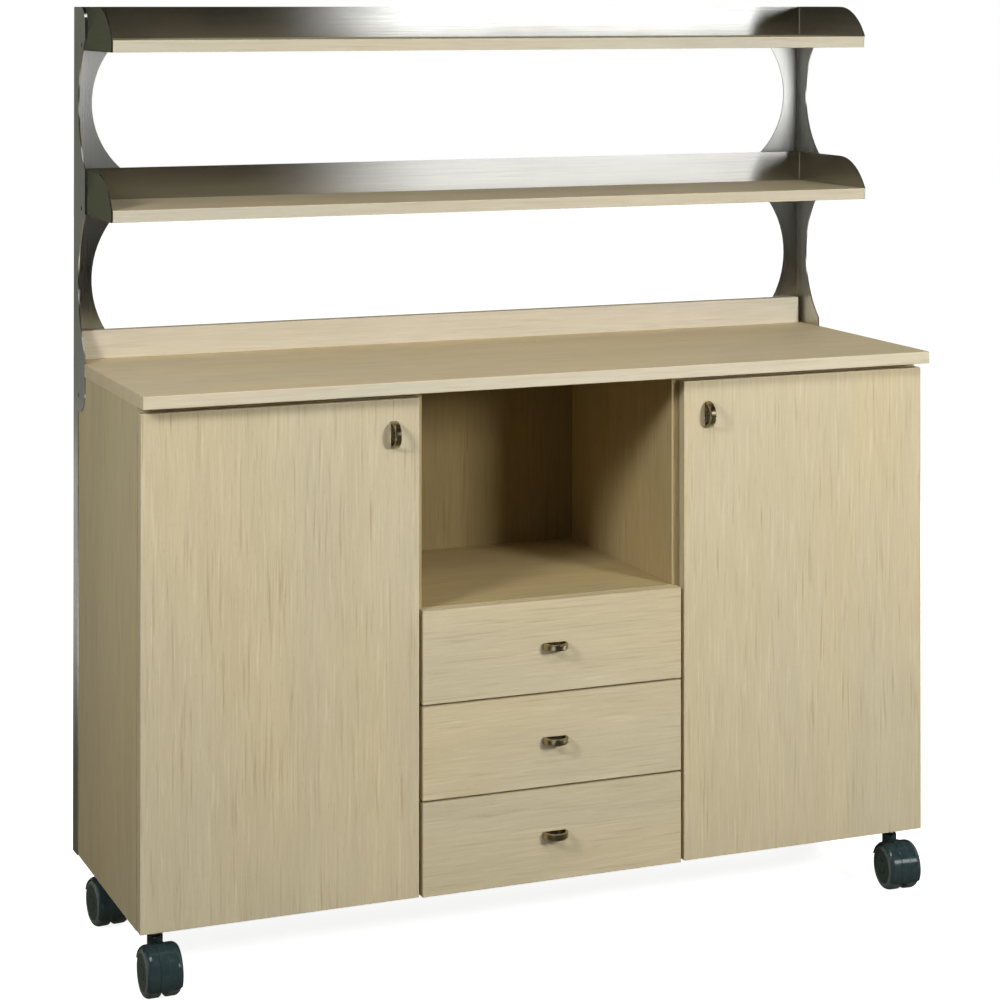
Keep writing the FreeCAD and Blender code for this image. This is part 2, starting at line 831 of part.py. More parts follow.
def door(side, sign):
    """An overlay door, bored for its two hinge cups."""
    slab = block(f"{side}_slab", (door_inner_edge * sign, door_edge * sign), (door_face, door_back),
                 (underside, door_top))
    cup_radius = S.cup_radius + S.cup_clearance
    bores = [
        rod(f"{side}_cup_bore_{count}", (hinge_x(sign, cup_middle()), door_back, height), "-Y", cup_radius,
            S.cup_depth)
        for count, height in enumerate(hinge_heights)
    ]
    node(f"door_{side}", cut(f"{side}_slab_bored", slab, bores))
    node(f"hinge_cups_{side}", together(f"{side}_cups", [
        hinge_cup(f"{side}_cup_{count}", sign, height) for count, height in enumerate(hinge_heights)]))
    node(f"hinge_pins_{side}", together(f"{side}_pins", [
        hinge_pin(f"{side}_pin_{count}", sign, height) for count, height in enumerate(hinge_heights)]))
    pull_x = (door_inner_edge + S.door_pull_from_edge) * sign
    node(f"door_pull_{side}", pull(f"{side}_bow", pull_x, door_top - S.door_pull_from_top, "upright"))


def doors():
    arms = []
    for side, sign in SIDES.items():
        door(side, sign)
        for count, height in enumerate(hinge_heights):
            arms.append(hinge_arm(f"{side}_arm_{count}", sign, height))
    node("hinge_arms", together("arm_set", arms))


def pull(name, x, z, way):
    """A bow pull: a strap bent to a half circle that stands on two short feet."""
    body = new_body(name)
    along, role = (z, "YZ_Plane") if way == "upright" else (x, "XY_Plane")
    across = x if way == "upright" else z
    spring = door_face - S.pull_foot
    outer = S.pull_radius
    inner = outer - S.pull_strap
    corners = [
        (door_face, along - outer), (spring, along - outer), (spring - outer, along, -outer),
        (spring, along + outer, -outer), (door_face, along + outer), (door_face, along + inner),
        (spring, along + inner), (spring - inner, along, inner), (spring, along - inner, inner),
        (door_face, along - inner),
    ]
    if way == "level":
        corners = [(corner[1], corner[0], *(-bend for bend in corner[2:])) for corner in corners]
    pad(body, outline(body, role, corners, across - S.pull_width / 2), S.pull_width)
    rounded(body, S.pull_edge_round,
            lambda edge: isinstance(edge.Curve, Part.Circle)
            and abs(edge.Curve.Radius - outer.value) < 0.01)
    return body


# Drawers

def drawer(label, base):
    """A drawer that hangs on two battens, which run in grooves in its sides."""
    front_half = niche_half + S.drawer_overlap
    node(f"drawer_front_{label}", block(f"{label}_front", (-front_half, front_half),
                                        (door_face, door_back), (base, base + S.drawer_front_height)))
    box_half = niche_half - S.drawer_side_gap
    box_y = (door_back, back_front - S.drawer_back_gap)
    low = base + S.drawer_rise
    box_z = (low, low + S.drawer_side_height)
    runner_z = low + S.drawer_side_height / 2
    groove_half = S.runner_height / 2 + S.runner_clearance
    groove_front = carcass_front + S.runner_setback - S.drawer_side_gap
    over = S.cutter_overrun
    boards = []
    for side, sign in SIDES.items():
        board_x = (box_half * sign, (box_half - S.drawer_board) * sign)
        board = block(f"{label}_side_{side}", board_x, box_y, box_z)
        groove_x = ((box_half + over) * sign, (box_half - S.runner_thickness) * sign)
        groove = block(f"{label}_groove_{side}", groove_x, (groove_front, box_y[1] + over),
                       (runner_z - groove_half, runner_z + groove_half))
        boards.append(cut(f"{label}_side_{side}_grooved", board, [groove]))
    between = (-(box_half - S.drawer_board), box_half - S.drawer_board)
    boards.append(block(f"{label}_inner_front", between, (door_back, door_back + S.drawer_board), box_z))
    boards.append(block(f"{label}_inner_back", between, (box_y[1] - S.drawer_board, box_y[1]), box_z))
    node(f"drawer_box_{label}", together(f"{label}_boards", boards))
    node(f"drawer_bottom_{label}", block(f"{label}_floor", (-box_half, box_half), box_y,
                                         (low - S.drawer_bottom, low)))
    pull_z = base + S.drawer_front_height / 2
    node(f"drawer_pull_{label}", pull(f"{label}_bow", as_size(0), pull_z, "level"))
    runner_y = (carcass_front + S.runner_setback, back_front - S.runner_end_gap)
    batten_z = (runner_z - S.runner_height / 2, runner_z + S.runner_height / 2)
    return [
        block(f"{label}_runner_{side}", (niche_half * sign, (niche_half - S.runner_thickness) * sign),
              runner_y, batten_z)
        for side, sign in SIDES.items()
    ]


def drawers():
    runners = []
    for count, label in enumerate(DRAWERS):
        runners += drawer(label, drawers_bottom + drawer_pitch * count)
    node("drawer_runners", together("runner_set", runners))


# Castors

def turned(body, x, y, turn):
    """Stand a castor piece at its stem and turn it about the stem."""
    upright_axis = FreeCAD.Vector(0, 0, 1)
    body.Placement = FreeCAD.Placement(FreeCAD.Vector(), FreeCAD.Rotation(upright_axis, turn.value))
    bind(body, "Placement.Rotation.Angle", turn)
    bind(body, "Placement.Base.x", x)
    bind(body, "Placement.Base.y", y)
    return body


def castor_stem(name, x, y):
    """The fixed stem: a spigot in the cabinet, a visible collar and a pin in the housing."""
    collar_length = S.castor_height - S.castor_top - S.swivel_gap
    spigot = rod(f"{name}_spigot", (x, y, underside), "+Z", S.stem_radius, S.board)
    collar = rod(f"{name}_collar", (x, y, underside), "-Z", S.stem_collar_radius, collar_length)
    pin = rod(f"{name}_pin", (x, y, underside - collar_length), "-Z", S.pivot_pin_radius,
              S.pivot_pin_length + S.swivel_gap)
    return joined(name, [spigot, collar, pin])


def castor_housing(name):
    """The hood over both wheels, the web between them and the boss that takes the stem."""
    body = new_body(name)
    axle_y = -S.castor_trail
    axle_z = S.wheel_radius
    half_web = S.castor_web / 2
    inner = S.wheel_radius + S.hood_gap
    shoulder = inner + S.hood_thickness - S.hood_crown
    half = half_web + S.wheel_gap + S.wheel_width
    crown_radius = (half * half + S.hood_crown * S.hood_crown) / (S.hood_crown * 2)
    hood = [
        (-half_web, half_web), (-half_web, inner), (-half, inner), (-half, shoulder),
        (half, shoulder, -crown_radius), (half, inner), (half_web, inner), (half_web, half_web),
    ]
    revolved(body, outline(body, "XZ_Plane", hood, S.castor_trail, axle_z), S.hood_front_sweep,
             S.hood_back_sweep)
    pad(body, ring(body, "YZ_Plane", axle_y, axle_z, S.web_hub_radius, -half_web), S.castor_web)
    pad(body, ring(body, "XY_Plane", 0, 0, S.boss_radius, S.castor_top - S.boss_height), S.boss_height)
    top, boss = S.castor_top.value, S.boss_radius.value
    rounded(body, S.boss_round,
            lambda edge: isinstance(edge.Curve, Part.Circle) and abs(edge.Curve.Radius - boss) < 0.01
            and abs(edge.Curve.Center.z - top) < 0.01)
    over = S.cutter_overrun
    for start in (half_web, -(half + over)):
        pocket(body, ring(body, "YZ_Plane", axle_y, axle_z, inner, start), half - half_web + over)
    pocket(body, ring(body, "YZ_Plane", axle_y, axle_z, S.axle_radius, -half_web - over),
           S.castor_web + over * 2)
    bore_depth = S.pivot_pin_length + S.swivel_gap
    pocket(body, ring(body, "XY_Plane", 0, 0, S.pivot_pin_radius + S.running_clearance,
                      S.castor_top - bore_depth), bore_depth + over)
    return body


def castor_wheel(name, sign):
    """A wheel turned about its axle, dished on its outer face, with a blind bore."""
    body = new_body(name)
    inner = S.castor_web / 2 + S.wheel_gap
    outer = inner + S.wheel_width
    bore = S.axle_radius + S.running_clearance
    bore_end = S.axle_length / 2 + S.running_clearance * 2
    radius = S.wheel_radius
    rim = radius - S.wheel_rim
    soft = S.tread_round
    section = [
        (inner, bore), (inner, radius - soft), (inner + soft, radius, -soft), (outer - soft, radius),
        (outer, radius - soft, -soft), (outer, rim), (outer - S.wheel_dish, rim - S.wheel_dish),
        (outer - S.wheel_dish, S.wheel_hub_radius + S.wheel_dish), (outer, S.wheel_hub_radius), (outer, 0),
        (bore_end, 0), (bore_end, bore),
    ]
    if sign == LEFT:
        section = [(-corner[0], corner[1], *(-bend for bend in corner[2:])) for corner in section]
    revolved(body, outline(body, "XZ_Plane", section, S.castor_trail, S.wheel_radius))
    return body


def castor_axle(name):
    body = new_body(name)
    drawing = ring(body, "YZ_Plane", -S.castor_trail, S.wheel_radius, S.axle_radius, -S.axle_length / 2)
    pad(body, drawing, S.axle_length)
    return body


def castors():
    stems = []
    for label, (x, y, turn) in castor_places().items():
        stems.append(castor_stem(f"stem_{label}", x, y))
        pieces = {
            f"castor_housing_{label}": castor_housing(f"housing_{label}"),
            f"castor_axle_{label}": castor_axle(f"axle_{label}"),
            f"castor_wheel_{label}_a": castor_wheel(f"wheel_{label}_a", LEFT),
            f"castor_wheel_{label}_b": castor_wheel(f"wheel_{label}_b", RIGHT),
        }
        for piece_label, piece in pieces.items():
            node(piece_label, turned(piece, x, y, turn))
    node("castor_stems", together("stem_set", stems))


carcass()
worktop()
steelwork()
doors()
drawers()
castors()
doc.recompute()

for item in doc.Objects:
    if "Invalid" in item.State or "Error" in item.State:
        raise RuntimeError(f"{item.Name} ({item.Label}) did not compute: {item.State}")
for label, item in nodes.items():
    if item.Shape.isNull() or not item.Shape.isValid():
        raise RuntimeError(f"{label} has no sound shape")

os.makedirs("parts", exist_ok=True)
for label, item in nodes.items():
    item.Shape.exportStep(f"parts/{label}.step")
print(f"{len(nodes)} nodes written")
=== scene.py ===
import json
import math

import bmesh
import bpy
from mathutils import Matrix, Vector

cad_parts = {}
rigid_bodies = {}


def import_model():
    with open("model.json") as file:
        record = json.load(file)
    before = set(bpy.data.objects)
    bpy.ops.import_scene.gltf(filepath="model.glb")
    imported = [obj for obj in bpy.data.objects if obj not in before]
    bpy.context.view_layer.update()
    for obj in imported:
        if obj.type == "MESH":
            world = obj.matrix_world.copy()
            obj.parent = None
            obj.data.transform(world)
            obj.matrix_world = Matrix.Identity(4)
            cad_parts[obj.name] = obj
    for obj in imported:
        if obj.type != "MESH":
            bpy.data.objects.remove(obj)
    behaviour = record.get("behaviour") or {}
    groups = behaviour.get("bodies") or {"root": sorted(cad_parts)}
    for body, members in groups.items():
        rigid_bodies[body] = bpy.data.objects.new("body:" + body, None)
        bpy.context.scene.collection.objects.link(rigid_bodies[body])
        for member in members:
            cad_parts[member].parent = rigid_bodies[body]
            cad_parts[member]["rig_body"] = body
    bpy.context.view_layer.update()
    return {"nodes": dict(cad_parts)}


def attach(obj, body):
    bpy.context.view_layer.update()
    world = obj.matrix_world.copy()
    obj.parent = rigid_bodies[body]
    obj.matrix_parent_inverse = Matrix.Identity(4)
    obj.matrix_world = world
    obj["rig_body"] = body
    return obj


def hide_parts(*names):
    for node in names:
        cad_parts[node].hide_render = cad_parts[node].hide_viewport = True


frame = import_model()
cadNodes = frame["nodes"]
print("frame loaded:", len(cadNodes), "nodes")


# node and colour helpers

def tone(red, green, blue):
    # a screen colour, 0 to 255, as the linear colour that a shader takes
    parts = [channel / 255 for channel in (red, green, blue)]
    return [part / 12.92 if part <= 0.04045 else ((part + 0.055) / 1.055) ** 2.4 for part in parts] + [1.0]


def grey(level):
    return [level] * 3 + [1.0]


def addNode(tree, kind, inputs=None, **settings):
    node = tree.nodes.new(kind)
    for name, value in settings.items():
        setattr(node, name, value)
    for socket, value in (inputs or {}).items():
        if isinstance(value, bpy.types.NodeSocket):
            tree.links.new(value, node.inputs[socket])
        else:
            node.inputs[socket].default_value = value
    return node


def newFinish(name):
    finish = bpy.data.materials.new(name)
    finish.use_nodes = True
    tree = finish.node_tree
    tree.nodes.clear()
    shader = addNode(tree, "ShaderNodeBsdfPrincipled")
    output = addNode(tree, "ShaderNodeOutputMaterial")
    tree.links.new(shader.outputs["BSDF"], output.inputs["Surface"])
    return finish, tree, shader


def piecePlace(tree, scale, shift=(0, 0, 0)):
    place = addNode(tree, "ShaderNodeTexCoord")
    mapped = addNode(tree, "ShaderNodeMapping", {"Vector": place.outputs["Object"]})
    mapped.inputs["Scale"].default_value = scale
    mapped.inputs["Location"].default_value = shift
    return mapped.outputs["Vector"]


def noise(tree, scale, shift=(0, 0, 0), detail=2.0, rough=0.5, twist=0.0):
    # noise whose cells have a size of their own along each axis
    made = addNode(tree, "ShaderNodeTexNoise", {
        "Vector": piecePlace(tree, scale, shift), "Scale": 1.0, "Detail": detail,
        "Roughness": rough, "Distortion": twist})
    return made.outputs["Fac"]


def spread(tree, value, fromLow, fromHigh, toLow, toHigh):
    made = addNode(tree, "ShaderNodeMapRange", {
        "Value": value, "From Min": fromLow, "From Max": fromHigh, "To Min": toLow, "To Max": toHigh})
    return made.outputs["Result"]


def maths(tree, operation, first, second=0.0):
    made = addNode(tree, "ShaderNodeMath", {0: first, 1: second}, operation=operation)
    return made.outputs["Value"]


def mixTone(tree, factor, first, second, blend="MIX"):
    # the mix node's colours are its inputs 6 and 7 and its output 2
    made = addNode(tree, "ShaderNodeMix", data_type="RGBA", blend_type=blend)
    for socket, value in ((made.inputs[0], factor), (made.inputs[6], first), (made.inputs[7], second)):
        if isinstance(value, bpy.types.NodeSocket):
            tree.links.new(value, socket)
        else:
            socket.default_value = value
    return made.outputs[2]


def bump(tree, height, distance, strength):
    made = addNode(tree, "ShaderNodeBump", {"Height": height, "Distance": distance, "Strength": strength})
    return made.outputs["Normal"]


# oak

oakSettings = {
    "warm": (205, 190, 155),
    "cool": (202, 190, 159),
    "streak": (170, 149, 112),
    "glint": (224, 213, 184),
    "pore": (146, 126, 90),
    # width and length in metres, place in the noise, detail, roughness, twist
    "bandMark": (0.19, 0.90, 0.0, 3.0, 0.5, 0.3),
    "cloudMark": (0.045, 0.30, 1.9, 2.0, 0.5, 0.0),
    "fibreMark": (0.0032, 0.085, 3.7, 2.0, 0.6, 0.0),
    "fineFibreMark": (0.0011, 0.040, 5.3, 2.0, 0.6, 0.0),
    "streakMark": (0.0045, 0.12, 7.1, 2.0, 0.55, 0.0),
    "glintMark": (0.0052, 0.10, 9.7, 2.0, 0.55, 0.0),
    "poreMark": (0.0006, 0.012, 11.3, 1.0, 0.5, 0.0),
    # how far a board's own shift and a mark's place move the noise along each axis
    "shiftSteps": (1.7, 3.1, 2.3),
    "placeSteps": (1.0, 1.3, 0.7),
    # where in its noise each colour starts and is full, and how much of it then shows
    "coolShow": (0.38, 0.62, 1.0),
    "glintShow": (0.58, 0.74, 0.42),
    "streakShow": (0.58, 0.76, 0.62),
    "poreShow": (0.64, 0.82, 0.4),
    # the same two places in the noise, and how dark and light the colour gets there
    "fibreShade": (0.25, 0.75, 0.94, 1.06),
    "fineFibreShade": (0.25, 0.75, 0.965, 1.035),
    "cloudShade": (0.3, 0.7, 0.965, 1.035),
    # and the roughness there
    "roughness": (0.2, 0.8, 0.57, 0.45),
    "fibreRise": 0.5,
    "poreSink": (0.62, 0.82, 0.0, 1.0),
    "reliefDepth": 0.00008,
    "reliefStrength": 0.6,
}


def grainScale(grain, width, length):
    # noise scale for marks of this width and length that run along axis X, Y or Z
    return tuple(1 / length if axis == grain else 1 / width for axis in "XYZ")


def tinted(colour, tint):
    return [part * tinge for part, tinge in zip(tone(*colour)[:3], tint)] + [1.0]


def greyTone(tree, value):
    made = addNode(tree, "ShaderNodeCombineColor", {"Red": value, "Green": value, "Blue": value})
    return made.outputs["Color"]


def oakFinish(name, grain, shift, tint, sheen, figure):
    s = oakSettings
    finish, tree, shader = newFinish(name)

    def grainNoise(key):
        width, length, place, detail, rough, twist = s[key + "Mark"]
        spot = [shift * far + place * near for far, near in zip(s["shiftSteps"], s["placeSteps"])]
        return noise(tree, grainScale(grain, width, length), spot, detail, rough, twist)

    def marked(colour, marks, key, share):
        low, high, most = s[key + "Show"]
        return mixTone(tree, spread(tree, marks, low, high, 0.0, most * share), colour, tinted(s[key], tint))

    names = ("band", "cloud", "fibre", "fineFibre", "streak", "glint", "pore")
    bands, clouds, fibres, fineFibres, streaks, glints, pores = (grainNoise(key) for key in names)
    colour = marked(tinted(s["warm"], tint), bands, "cool", 1.0)
    colour = marked(colour, glints, "glint", figure)
    colour = marked(colour, streaks, "streak", figure)
    colour = marked(colour, pores, "pore", figure)
    shade = maths(tree, "MULTIPLY", spread(tree, fibres, *s["fibreShade"]),
                  spread(tree, fineFibres, *s["fineFibreShade"]))
    shade = maths(tree, "MULTIPLY", shade, spread(tree, clouds, *s["cloudShade"]))
    colour = mixTone(tree, 1.0, colour, greyTone(tree, shade), "MULTIPLY")
    tree.links.new(colour, shader.inputs["Base Color"])
    tree.links.new(spread(tree, fibres, *s["roughness"]), shader.inputs["Roughness"])
    relief = maths(tree, "SUBTRACT", maths(tree, "MULTIPLY", fineFibres, s["fibreRise"]),
                   spread(tree, pores, *s["poreSink"]))
    tree.links.new(bump(tree, relief, s["reliefDepth"], s["reliefStrength"]), shader.inputs["Normal"])
    shader.inputs["Specular IOR Level"].default_value = sheen
    return finish


# the paler line along a board's edges: a painted highlight where the rounded edge catches the light

arrisSettings = {
    "pale": (218, 206, 176),
    "base": (205, 190, 155),
    "mottleCells": 160,
    "mottleShow": (0.35, 0.62, 0.0, 1.0),
    "roughness": (0.3, 0.7, 0.52, 0.40),
    "sheen": 0.14,
}


def arrisFinish(name, tint):
    s = arrisSettings
    finish, tree, shader = newFinish(name)
    mottle = noise(tree, (s["mottleCells"],) * 3, detail=3.0, rough=0.6)
    colour = mixTone(tree, spread(tree, mottle, *s["mottleShow"]),
                     tinted(s["base"], tint), tinted(s["pale"], tint))
    tree.links.new(colour, shader.inputs["Base Color"])
    tree.links.new(spread(tree, mottle, *s["roughness"]), shader.inputs["Roughness"])
    shader.inputs["Specular IOR Level"].default_value = s["sheen"]
    return finish


# plywood of the drawer boxes

plySettings = {
    "face": (214, 196, 158),
    "line": (196, 174, 132),
    # width and length of the marks, in metres
    "band": (0.05, 0.7),
    "fibre": (0.0018, 0.12),
    "bandPlace": (2.0, 1.0, 4.0),
    "lineShow": (0.35, 0.65, 0.0, 1.0),
    "fibreShade": (0.25, 0.75, 0.92, 1.07),
    "roughness": (0.2, 0.8, 0.55, 0.42),
    "reliefDepth": 0.00006,
    "reliefStrength": 0.6,
    "sheen": 0.35,
}


def plyFinish(name, grain):
    s = plySettings
    finish, tree, shader = newFinish(name)
    bands = noise(tree, grainScale(grain, *s["band"]), s["bandPlace"], detail=3.0, rough=0.5, twist=0.6)
    fibres = noise(tree, grainScale(grain, *s["fibre"]), detail=3.0, rough=0.6)
    colour = mixTone(tree, spread(tree, bands, *s["lineShow"]), tone(*s["face"]), tone(*s["line"]))
    shade = spread(tree, fibres, *s["fibreShade"])
    colour = mixTone(tree, 1.0, colour, greyTone(tree, shade), "MULTIPLY")
    tree.links.new(colour, shader.inputs["Base Color"])
    tree.links.new(spread(tree, fibres, *s["roughness"]), shader.inputs["Roughness"])
    tree.links.new(bump(tree, fibres, s["reliefDepth"], s["reliefStrength"]), shader.inputs["Normal"])
    shader.inputs["Specular IOR Level"].default_value = s["sheen"]
    return finish


# brushed sheet steel

steelSettings = {
    "bright": (216, 216, 212),
    "dull": (200, 201, 198),
    "rimRoughness": 0.18,
    "uprightRoughness": 0.29,
    "anisotropy": 1.0,
    "scratchWidth": 0.0007,
    "scratchLength": 0.16,
    "dullShow": (0.3, 0.7, 0.0, 1.0),
    "scratchRough": (0.25, 0.75, -0.03, 0.03),
    "smearCells": 6,
    "smearPlace": (1.3, 0.4, 2.0),
    "smearSpan": (0.3, 0.7),
    "smearRough": (-0.02, 0.03),
    "reliefDepth": 0.00002,
    "reliefStrength": 0.35,
}


def brushedSteel(name, grain, roughness):
    # grain "across" runs level round the rims, grain "up" runs up the uprights
    s = steelSettings
    finish, tree, shader = newFinish(name)
    across, along = 1 / s["scratchWidth"], 1 / s["scratchLength"]
    if grain == "up":
        scratches = noise(tree, (across, across, along), detail=3.0, rough=0.7)
        normal = addNode(tree, "ShaderNodeNewGeometry").outputs["Normal"]
        tangent = addNode(tree, "ShaderNodeVectorMath", {0: (0.0, 0.0, 1.0), 1: normal},
                          operation="CROSS_PRODUCT")
    else:
        scratches = noise(tree, (along, along, across), detail=3.0, rough=0.7)
        tangent = addNode(tree, "ShaderNodeCombineXYZ", {"X": 0.0, "Y": 0.0, "Z": 1.0})
    tree.links.new(tangent.outputs["Vector"], shader.inputs["Tangent"])
    smears = noise(tree, (s["smearCells"],) * 3, s["smearPlace"], detail=3.0, rough=0.55)
    colour = mixTone(tree, spread(tree, scratches, *s["dullShow"]), tone(*s["bright"]), tone(*s["dull"]))
    tree.links.new(colour, shader.inputs["Base Color"])
    under, over = s["smearRough"]
    rough = maths(tree, "ADD", spread(tree, scratches, *s["scratchRough"]),
                  spread(tree, smears, *s["smearSpan"], roughness + under, roughness + over))
    tree.links.new(rough, shader.inputs["Roughness"])
    tree.links.new(bump(tree, scratches, s["reliefDepth"], s["reliefStrength"]), shader.inputs["Normal"])
    shader.inputs["Metallic"].default_value = 1.0
    shader.inputs["Anisotropic"].default_value = s["anisotropy"]
    return finish


# plain metal of the screws, pulls, hinges, pins and stems

metalSettings = {
    "grainSize": 0.0012,
    "dullShow": (0.3, 0.7, 0.0, 1.0),
    "smearCells": 45,
    "smearPlace": (0.7, 1.9, 0.2),
    "smearShow": (0.45, 0.75, 0.0, 0.35),
    "smearShade": 0.86,
    "grainRough": (0.25, 0.75, -0.03, 0.03),
    "smearSpan": (0.3, 0.7),
    "wear": 0.06,
    "reliefDepth": 0.00001,
    "reliefStrength": 0.3,
}


def plainMetal(name, bright, dull, roughness):
    s = metalSettings
    finish, tree, shader = newFinish(name)
    mottle = noise(tree, (1 / s["grainSize"],) * 3, detail=3.0, rough=0.65)
    smears = noise(tree, (s["smearCells"],) * 3, s["smearPlace"], detail=3.0, rough=0.55)
    smeared = [channel * s["smearShade"] for channel in dull]
    colour = mixTone(tree, spread(tree, mottle, *s["dullShow"]), tone(*bright), tone(*dull))
    colour = mixTone(tree, spread(tree, smears, *s["smearShow"]), colour, tone(*smeared))
    tree.links.new(colour, shader.inputs["Base Color"])
    rough = maths(tree, "ADD", spread(tree, mottle, *s["grainRough"]),
                  spread(tree, smears, *s["smearSpan"], roughness, roughness + s["wear"]))
    tree.links.new(rough, shader.inputs["Roughness"])
    tree.links.new(bump(tree, mottle, s["reliefDepth"], s["reliefStrength"]), shader.inputs["Normal"])
    shader.inputs["Metallic"].default_value = 1.0
    return finish


# plastic of the castors

plasticSettings = {
    "grainCells": 1800,
    "grainRough": (0.25, 0.75, -0.02, 0.03),
    "scuffCells": 90,
    "scuffPlace": (3.1, 0.3, 1.4),
    "scuffShow": (0.52, 0.74, 0.0, 0.6),
    "scuffSpan": (0.4, 0.75),
    "wear": 0.16,
    "reliefDepth": 0.00002,
    "reliefStrength": 0.4,
}


def plasticFinish(name, base, scuffed, roughness, gloss):
    s = plasticSettings
    finish, tree, shader = newFinish(name)
    grain = noise(tree, (s["grainCells"],) * 3, detail=2.0, rough=0.6)
    scuffs = noise(tree, (s["scuffCells"],) * 3, s["scuffPlace"], detail=4.0, rough=0.62)
    colour = mixTone(tree, spread(tree, scuffs, *s["scuffShow"]), tone(*base), tone(*scuffed))
    tree.links.new(colour, shader.inputs["Base Color"])
    rough = maths(tree, "ADD", spread(tree, grain, *s["grainRough"]),
                  spread(tree, scuffs, *s["scuffSpan"], roughness, roughness + s["wear"]))
    tree.links.new(rough, shader.inputs["Roughness"])
    tree.links.new(bump(tree, grain, s["reliefDepth"], s["reliefStrength"]), shader.inputs["Normal"])
    shader.inputs["Specular IOR Level"].default_value = gloss
    return finish


plainTint = (1.0, 1.0, 1.0)
# the arris with its painted highlight
arris = arrisFinish("oakArris", plainTint)
# a darker copy of the arris: painted shade for edges inside the cabinet and niche and along the gaps between
# the drawers
arrisPaintedShade = arrisFinish("oakArrisShaded", (0.62, 0.58, 0.49))
steelLevel = brushedSteel("steelBrushedLevel", "across", steelSettings["rimRoughness"])
steelUp = brushedSteel("steelBrushedUp", "up", steelSettings["uprightRoughness"])
screwSteel = plainMetal("screwSteel", (196, 194, 188), (150, 148, 142), roughness=0.24)
satinNickel = plainMetal("satinNickel", (178, 166, 134), (146, 136, 108), roughness=0.25)
hingeSteel = plainMetal("hingeSteel", (205, 205, 203), (178, 178, 176), roughness=0.22)
zincSteel = plainMetal("zincSteel", (190, 192, 194), (150, 154, 160), roughness=0.34)
hoodPlastic = plasticFinish("castorHood", (44, 60, 61), (62, 76, 75), roughness=0.10, gloss=0.9)
tyrePlastic = plasticFinish("castorTyre", (104, 114, 111), (124, 131, 127), roughness=0.26, gloss=0.6)
discPlastic = plasticFinish("castorDisc", (46, 60, 56), (62, 74, 70), roughness=0.16, gloss=0.7)
print("finishes made")


# pieces copied from the frame's nodes, merged so that they can be dressed

dressSettings = {
    "mergeDistance": 0.00001,
    "flatAngle": 0.4,
    "arrisAngle": 35.0,
    "arrisShortest": 0.015,
    "arrisSegments": 2,
    # under these angles an edge of folded sheet or of a round part is shaded smooth
    "sheetAngle": 32.0,
    "roundAngle": 40.0,
    "bandNormal": -0.95,
}


def addObject(name, data):
    made = bpy.data.objects.new(name, data)
    bpy.context.scene.collection.objects.link(made)
    return made


def lowHigh(points):
    # the lowest and the highest corner round some points
    return [Vector([pick(point[axis] for point in points) for axis in range(3)]) for pick in (min, max)]


def mergedMesh(nodeName, smoothAngle):
    s = dressSettings
    work = bmesh.new()
    work.from_mesh(cadNodes[nodeName].data)
    bmesh.ops.remove_doubles(work, verts=work.verts, dist=s["mergeDistance"])
    flat = math.radians(s["flatAngle"])
    bmesh.ops.dissolve_limit(work, angle_limit=flat, verts=work.verts, edges=work.edges)
    weight = work.edges.layers.float.new("bevel_weight_edge")
    for face in work.faces:
        face.smooth = smoothAngle > 0
    for edge in work.edges:
        turned = edge.calc_face_angle(0.0) if len(edge.link_faces) == 2 else math.pi
        edge.smooth = turned < math.radians(smoothAngle)
        if turned > math.radians(s["arrisAngle"]) and edge.calc_length() > s["arrisShortest"]:
            edge[weight] = 1.0
    mesh = bpy.data.meshes.new(nodeName)
    work.to_mesh(mesh)
    work.free()
    return mesh


def dress(nodeName, pieceName, finishes, smoothAngle=0.0, arrisWidth=0.0):
    piece = addObject(pieceName, mergedMesh(nodeName, smoothAngle))
    for finish in finishes:
        piece.data.materials.append(finish)
    if arrisWidth:
        softened = piece.modifiers.new("Arris", "BEVEL")
        softened.limit_method = "WEIGHT"
        softened.width = arrisWidth
        softened.segments = dressSettings["arrisSegments"]
        softened.material = len(finishes) - 1
    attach(piece, cadNodes[nodeName]["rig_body"])
    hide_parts(nodeName)
    return piece


def litFrontBand(piece, finish):
    # the front-facing faces of a board take a whiter copy of the oak, a painted highlight for the light they
    # catch from the front
    piece.data.materials.append(finish)
    for face in piece.data.polygons:
        if face.normal.y < dressSettings["bandNormal"]:
            face.material_index = len(piece.data.materials) - 1
